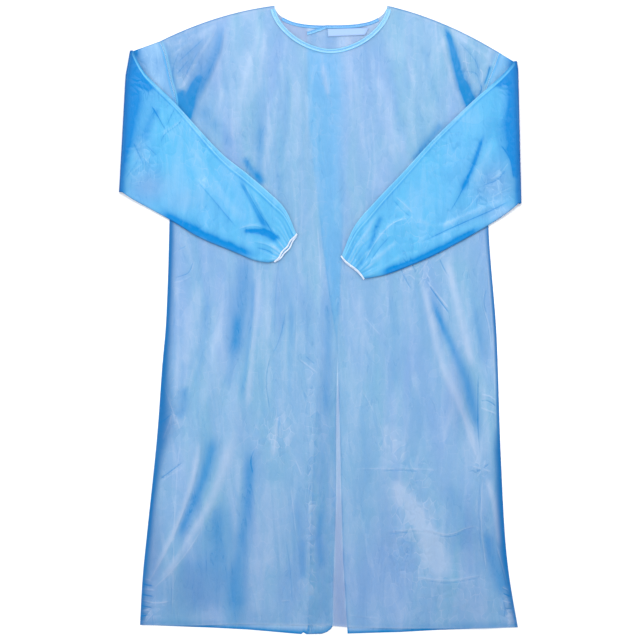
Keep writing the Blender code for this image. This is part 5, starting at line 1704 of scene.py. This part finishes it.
class APRON_OT_sleeves(Operator):
    """Make both sleeves, folded at the elbow and gathered at the cuff"""

    bl_idname = "apron.sleeves"
    bl_label = "Sleeves"

    def execute(self, context):
        sizes, colours = context.scene.apron_sizes, context.scene.apron_colours
        finish = sleeve_film(colours)
        for name, node, sleeve, rim in (
                ("film_sleeve_left", "sleeve_left", LEFT_SLEEVE, "cuff_rim_left"),
                ("film_sleeve_right", "sleeve_right", RIGHT_SLEEVE, "cuff_rim_right")):
            rings, values = sleeve_rings(sleeve, sizes.sleeve_cell / MM)
            count, around, _axes = rings.shape
            x, y = rings[..., 0], rings[..., 1]
            strength = ARM_CRUMPLE[0] + ARM_CRUMPLE[1] * clamp(soft_noise(x, y, *ARM_CRUMPLES))
            strength = np.maximum(strength, patch_field(sleeve["crumpled"], x, y))
            rings[..., 2] += np.where(rings[..., 2] > ARM_CRUMPLE_FROM, 1.0, 0.0) * (
                sizes.crumple / MM * ARM_CRUMPLE_SHARE * strength * crumple(x, y, ARM_CRUMPLE_SEED))
            faces = grid_faces(count, around, closed=True)
            if sleeve["side"] > 0:
                faces = [face[::-1] for face in faces]
            piece = link_mesh(name, rings.reshape(-1, 3), faces,
                              {**values, "crumple": strength})
            finish_piece(piece, finish, node)
        return {"FINISHED"}


class APRON_OT_cuffs(Operator):
    """Make the covered elastic rim of each cuff"""

    bl_idname = "apron.cuffs"
    bl_label = "Cuff elastics"

    def execute(self, context):
        sizes, colours = context.scene.apron_sizes, context.scene.apron_colours
        finish = elastic_finish(colours)
        for name, node, sleeve in (("cuff_rim_left", "cuff_elastic_left", LEFT_SLEEVE),
                                   ("cuff_rim_right", "cuff_elastic_right", RIGHT_SLEEVE)):
            piece = self.rim(name, sleeve, sizes)
            finish_piece(piece, finish, node)
        return {"FINISHED"}

    @staticmethod
    def rim(name, sleeve, sizes):
        """A gathered rim: a rounded strip swept round the cuff's loop."""
        count = RIM_POINTS
        over = np.arange(count) / (count - 1)
        across = np.concatenate([over, over[::-1]])
        depth = np.concatenate([np.full(count, RIM_HALF_HEIGHT),
                                np.full(count, TUBE_DEPTH - RIM_HALF_HEIGHT)])
        last = len(sleeve["stations"]) - 1
        middle = SEAM_GAP + CUFF_RIM / 2.0
        x, y, z, _values = forearm_ring(sleeve, last, across, depth, middle)
        out_x, out_y = cuff_direction(sleeve)
        turns = np.arange(len(x)) / len(x)
        rib = np.cos(2.0 * math.pi * sizes.cuff_ribs * 2.0 * turns)
        half = CUFF_RIM / 2.0 * (1.0 + RIB_SWELL * rib)
        thick = RIM_HALF_HEIGHT * (1.0 + RIB_HEIGHT * rib)
        sides = RIM_SIDES
        verts, ribs = [], []
        for side in range(sides):
            turn = 2.0 * math.pi * side / sides
            shift = half * math.cos(turn)
            verts.append(np.stack([x + out_x * shift, y + out_y * shift,
                                   z + thick * math.sin(turn)], -1))
            ribs.append(0.5 - 0.5 * rib)
        verts, ribs = np.array(verts), np.array(ribs)
        points = len(x)
        faces = []
        for side in range(sides):
            for k in range(points):
                a, b = side * points + k, side * points + (k + 1) % points
                c = (side + 1) % sides * points
                faces.append((a, b, c + (k + 1) % points, c + k))
        piece = link_mesh(name, verts.reshape(-1, 3), faces, {"rib": ribs})
        outward(piece)
        return piece


def outward(piece):
    """Turn all faces of a closed piece outwards."""
    bpy.ops.object.select_all(action="DESELECT")
    bpy.context.view_layer.objects.active = piece
    piece.select_set(True)
    bpy.ops.object.mode_set(mode="EDIT")
    bpy.ops.mesh.select_all(action="SELECT")
    bpy.ops.mesh.normals_make_consistent(inside=False)
    bpy.ops.object.mode_set(mode="OBJECT")
    piece.select_set(False)


BINDING_PROFILE = [
    # share of the width, height over the film, line tone
    (-0.03, -0.75, 0.2),
    (-0.02, 0.15, 0.5),
    (0.04, 0.62, 0.9),
    (0.13, 0.85, 1.0),
    (0.24, 0.68, 0.7),
    (0.36, 0.40, 0.15),
    (0.48, 0.32, 0.0),
    (0.60, 0.40, 0.1),
    (0.71, 0.62, 0.6),
    (0.81, 0.78, 1.0),
    (0.90, 0.60, 0.7),
    (0.97, 0.25, 0.3),
    (1.00, 0.02, 0.2),
]


def strip_frame(xs, edge):
    """Places along an edge, with the unit direction into the cloth at each."""
    slope = (edge(xs + SLOPE_STEP) - edge(xs - SLOPE_STEP)) / (2.0 * SLOPE_STEP)
    size = np.hypot(1.0, slope)
    return xs, edge(xs), slope / size, -1.0 / size


def edge_strip(name, frame_rows, width, base, rim_tone, dull):
    """A bound strip along an edge, with two beads and a stitched valley; dull by place."""
    xs, ys, in_x, in_y = frame_rows
    share, height, line = (np.array(column)[:, None] for column in zip(*BINDING_PROFILE))
    x = xs[None] + width * share * in_x[None]
    y = ys[None] + width * share * in_y[None]
    inner = clamp(share)
    at_x, at_y = xs[None] + width * inner * in_x[None], ys[None] + width * inner * in_y[None]
    run = np.concatenate([[0.0], np.cumsum(np.hypot(np.diff(xs), np.diff(ys)))])[None]
    pucker = 1.0 + BINDING_PUCKER * np.sin(2.0 * math.pi * run / BINDING_PUCKER_PITCH)
    z = base(at_x, at_y) + height * pucker
    rim = rim_tone * bell(share * width, BINDING_RIM) + 0.0 * x
    shine = 1.0 - BINDING_DULL * dull(xs)[None]
    return sheet_piece(name, x, y, z, {"line": line * shine, "edge": rim})


def stitch_row(name, frame_rows, width, base, pitch):
    """Short raised stitches along the valley of a bound strip."""
    xs, ys, in_x, in_y = frame_rows
    x = xs + STITCH_SHARE * width * in_x
    y = ys + STITCH_SHARE * width * in_y
    run = np.concatenate([[0.0], np.cumsum(np.hypot(np.diff(x), np.diff(y)))])
    verts, faces = [], []
    rings, sides = len(STITCH_SWELL), STITCH_SIDES
    half = STITCH_HALF * pitch
    for start in np.arange(pitch, run[-1] - pitch, pitch):
        offsets = np.linspace(-half, half, rings)
        px, py = np.interp(start + offsets, run, x), np.interp(start + offsets, run, y)
        lift = 0.16 * (1.0 - (offsets / half) ** 2) + 0.02
        pz = base(px, py) + 0.36 + lift
        tangent = np.array([px[-1] - px[0], py[-1] - py[0]])
        normal = np.array([-tangent[1], tangent[0]]) / np.hypot(*tangent)
        first = len(verts)
        swell = STITCH_RADIUS * np.array(STITCH_SWELL)
        for cx, cy, cz, size in zip(px, py, pz, swell):
            for k in range(sides):
                turn = 2.0 * math.pi * k / sides
                verts.append((cx + normal[0] * size * math.cos(turn),
                              cy + normal[1] * size * math.cos(turn),
                              cz + size * math.sin(turn)))
        faces += grid_faces(rings, sides, closed=True, first=first)
        faces.append(tuple(first + k for k in range(sides)))
        faces.append(tuple(first + (rings - 1) * sides + k for k in reversed(range(sides))))
    piece = link_mesh(name, verts, faces)
    outward(piece)
    return piece


class APRON_OT_bindings(Operator):
    """Make the bound neck edges with their stitches"""

    bl_idname = "apron.bindings"
    bl_label = "Neck bindings"

    def execute(self, context):
        sizes, colours = context.scene.apron_sizes, context.scene.apron_colours
        finish, thread = binding_finish(colours), thread_finish(colours)
        reach = NECK_REACH - BINDING_END_GAP
        front_x = NECK_MIDDLE_X - reach * np.cos(np.linspace(0.0, math.pi, BINDING_POINTS))
        back_left_x = np.linspace(*BACK_LEFT_BINDING)
        back_right_x = np.linspace(OPENING_ROWS[0][2], BACK_RIGHT_BINDING_END,
                                   BACK_RIGHT_BINDING_POINTS)
        front_lift = BINDING_LIFT
        rows = (
            ("binding_front", "neck_binding_front", front_x,
             lambda x: top_y(x, FRONT_NECK), BINDING_WIDTH,
             lambda x, y: front_upper(x, y) + front_lift, 0.1, lambda x: 0.0 * x),
            ("binding_back_left", "neck_binding_back_left", back_left_x,
             lambda x: top_y(x, BACK_NECK), BACK_BINDING_WIDTH,
             lambda x, y: LAYER + 0.0 * x, 0.85, lambda x: 1.0 + 0.0 * x),
            ("binding_back_right", "neck_binding_back_right", back_right_x,
             back_right_top, BACK_BINDING_WIDTH, on_back_right, 0.85,
             lambda x: smooth((x + 4.0) / 18.0)),
        )
        for name, node, xs, edge, width, base, rim_tone, dull in rows:
            frame_rows = strip_frame(xs, edge)
            strip = edge_strip(name, frame_rows, width, base, rim_tone, dull)
            finish_piece(strip, finish, node)
            stitches = stitch_row(name + "_stitches", frame_rows, width, base,
                                  sizes.stitch / MM)
            finish_piece(stitches, thread, None)
        return {"FINISHED"}


class APRON_OT_tape(Operator):
    """Make the pale fastening strip inside the neck"""

    bl_idname = "apron.tape"
    bl_label = "Fastening tape"

    def execute(self, context):
        colours = context.scene.apron_colours
        columns, rows = 60, 14
        over = np.linspace(0.0, 1.0, columns)
        upper = evenly(TAPE_UPPER, over)
        lower = evenly(TAPE_LOWER, over)
        down = np.linspace(0.0, 1.0, rows)[:, None]
        x = mix(upper[None, :, 0], lower[None, :, 0], down)
        y = mix(upper[None, :, 1], lower[None, :, 1], down)
        thickness = 0.75
        rim = np.minimum(np.minimum(down, 1.0 - down) * 14.0,
                         np.minimum(over, 1.0 - over)[None] * 76.0)
        top = on_back_right(x, y) + thickness * np.sqrt(smooth(rim / 2.4)) + 0.06
        base = on_back_right(x, y) + 0.02
        verts = np.concatenate([np.stack([x, y, top], -1).reshape(-1, 3),
                                np.stack([x, y, base], -1).reshape(-1, 3)])
        size = rows * columns
        faces = grid_faces(rows, columns)
        faces += [face[::-1] for face in grid_faces(rows, columns, first=size)]
        loop = list(range(columns))
        loop += [i * columns + columns - 1 for i in range(1, rows)]
        loop += [(rows - 1) * columns + j for j in range(columns - 2, -1, -1)]
        loop += [i * columns for i in range(rows - 2, 0, -1)]
        for a, b in zip(loop, loop[1:] + loop[:1]):
            faces.append((a, b, b + size, a + size))
        piece = link_mesh("neck_tape_strip", verts, faces)
        outward(piece)
        finish_piece(piece, tape_finish(colours), "neck_tape")
        return {"FINISHED"}


class APRON_OT_stage(Operator):
    """Make the pale floor, the soft studio lights and the camera above"""

    bl_idname = "apron.stage"
    bl_label = "Stage"

    def execute(self, context):
        scene = context.scene
        bpy.ops.object.select_all(action="DESELECT")
        bpy.ops.mesh.primitive_plane_add(size=FLOOR_SIZE, location=(0.0, 0.0, 0.0))
        floor = context.active_object
        floor.name = "floor"
        floor.data.materials.append(floor_finish(scene.apron_colours))
        floor.select_set(False)
        world = bpy.data.worlds.new("studio")
        world.use_nodes = True
        world.node_tree.nodes["Background"].inputs["Color"].default_value = SKY
        world.node_tree.nodes["Background"].inputs["Strength"].default_value = SKY_STRENGTH
        scene.world = world
        for lamp in LAMPS:
            self.soft_box(*lamp)
        view = bpy.data.cameras.new("view_from_above")
        view.lens = CAMERA_LENS
        view.sensor_width = CAMERA_SENSOR
        view.clip_end = CAMERA_REACH
        camera = bpy.data.objects.new("view_from_above", view)
        camera.location = CAMERA_PLACE
        scene.collection.objects.link(camera)
        scene.camera = camera
        scene.view_settings.view_transform = "Standard"
        return {"FINISHED"}

    @staticmethod
    def soft_box(name, place, size, power):
        """A soft rectangular light aimed at the middle of the garment."""
        lamp = bpy.data.lights.new(name, "AREA")
        lamp.shape = "RECTANGLE"
        lamp.size, lamp.size_y = size
        lamp.energy = power
        made = bpy.data.objects.new(name, lamp)
        made.location = place
        aim = made.location.to_track_quat("Z", "Y")
        made.rotation_euler = aim.to_euler()
        bpy.context.scene.collection.objects.link(made)


class APRON_PT_panel(Panel):
    """Lists the pieces of the apron, its sizes and its colours"""

    bl_idname = "APRON_PT_panel"
    bl_label = "Film apron"
    bl_space_type = "VIEW_3D"
    bl_region_type = "UI"
    bl_category = "Film apron"

    def draw(self, context):
        layout = self.layout
        for operator in PIECES:
            layout.operator(operator.bl_idname)
        for group in (context.scene.apron_sizes, context.scene.apron_colours):
            column = layout.column(align=True)
            for key in group.bl_rna.properties.keys():
                if key not in ("rna_type", "name"):
                    column.prop(group, key)


PIECES = (APRON_OT_bindings, APRON_OT_tape, APRON_OT_cuffs, APRON_OT_backs,
          APRON_OT_front, APRON_OT_sleeves, APRON_OT_stage)
CLASSES = (ApronSizes, ApronColours, *PIECES, APRON_PT_panel)


def register():
    for made in CLASSES:
        bpy.utils.register_class(made)
    bpy.types.Scene.apron_sizes = PointerProperty(type=ApronSizes)
    bpy.types.Scene.apron_colours = PointerProperty(type=ApronColours)


def unregister():
    del bpy.types.Scene.apron_colours
    del bpy.types.Scene.apron_sizes
    for made in reversed(CLASSES):
        bpy.utils.unregister_class(made)


def main():
    register()
    bpy.ops.apron.bindings()
    bpy.ops.apron.tape()
    bpy.ops.apron.cuffs()
    bpy.ops.apron.backs()
    bpy.ops.apron.front()
    bpy.ops.apron.sleeves()
    bpy.ops.apron.stage()


if __name__ == "__main__":
    main()
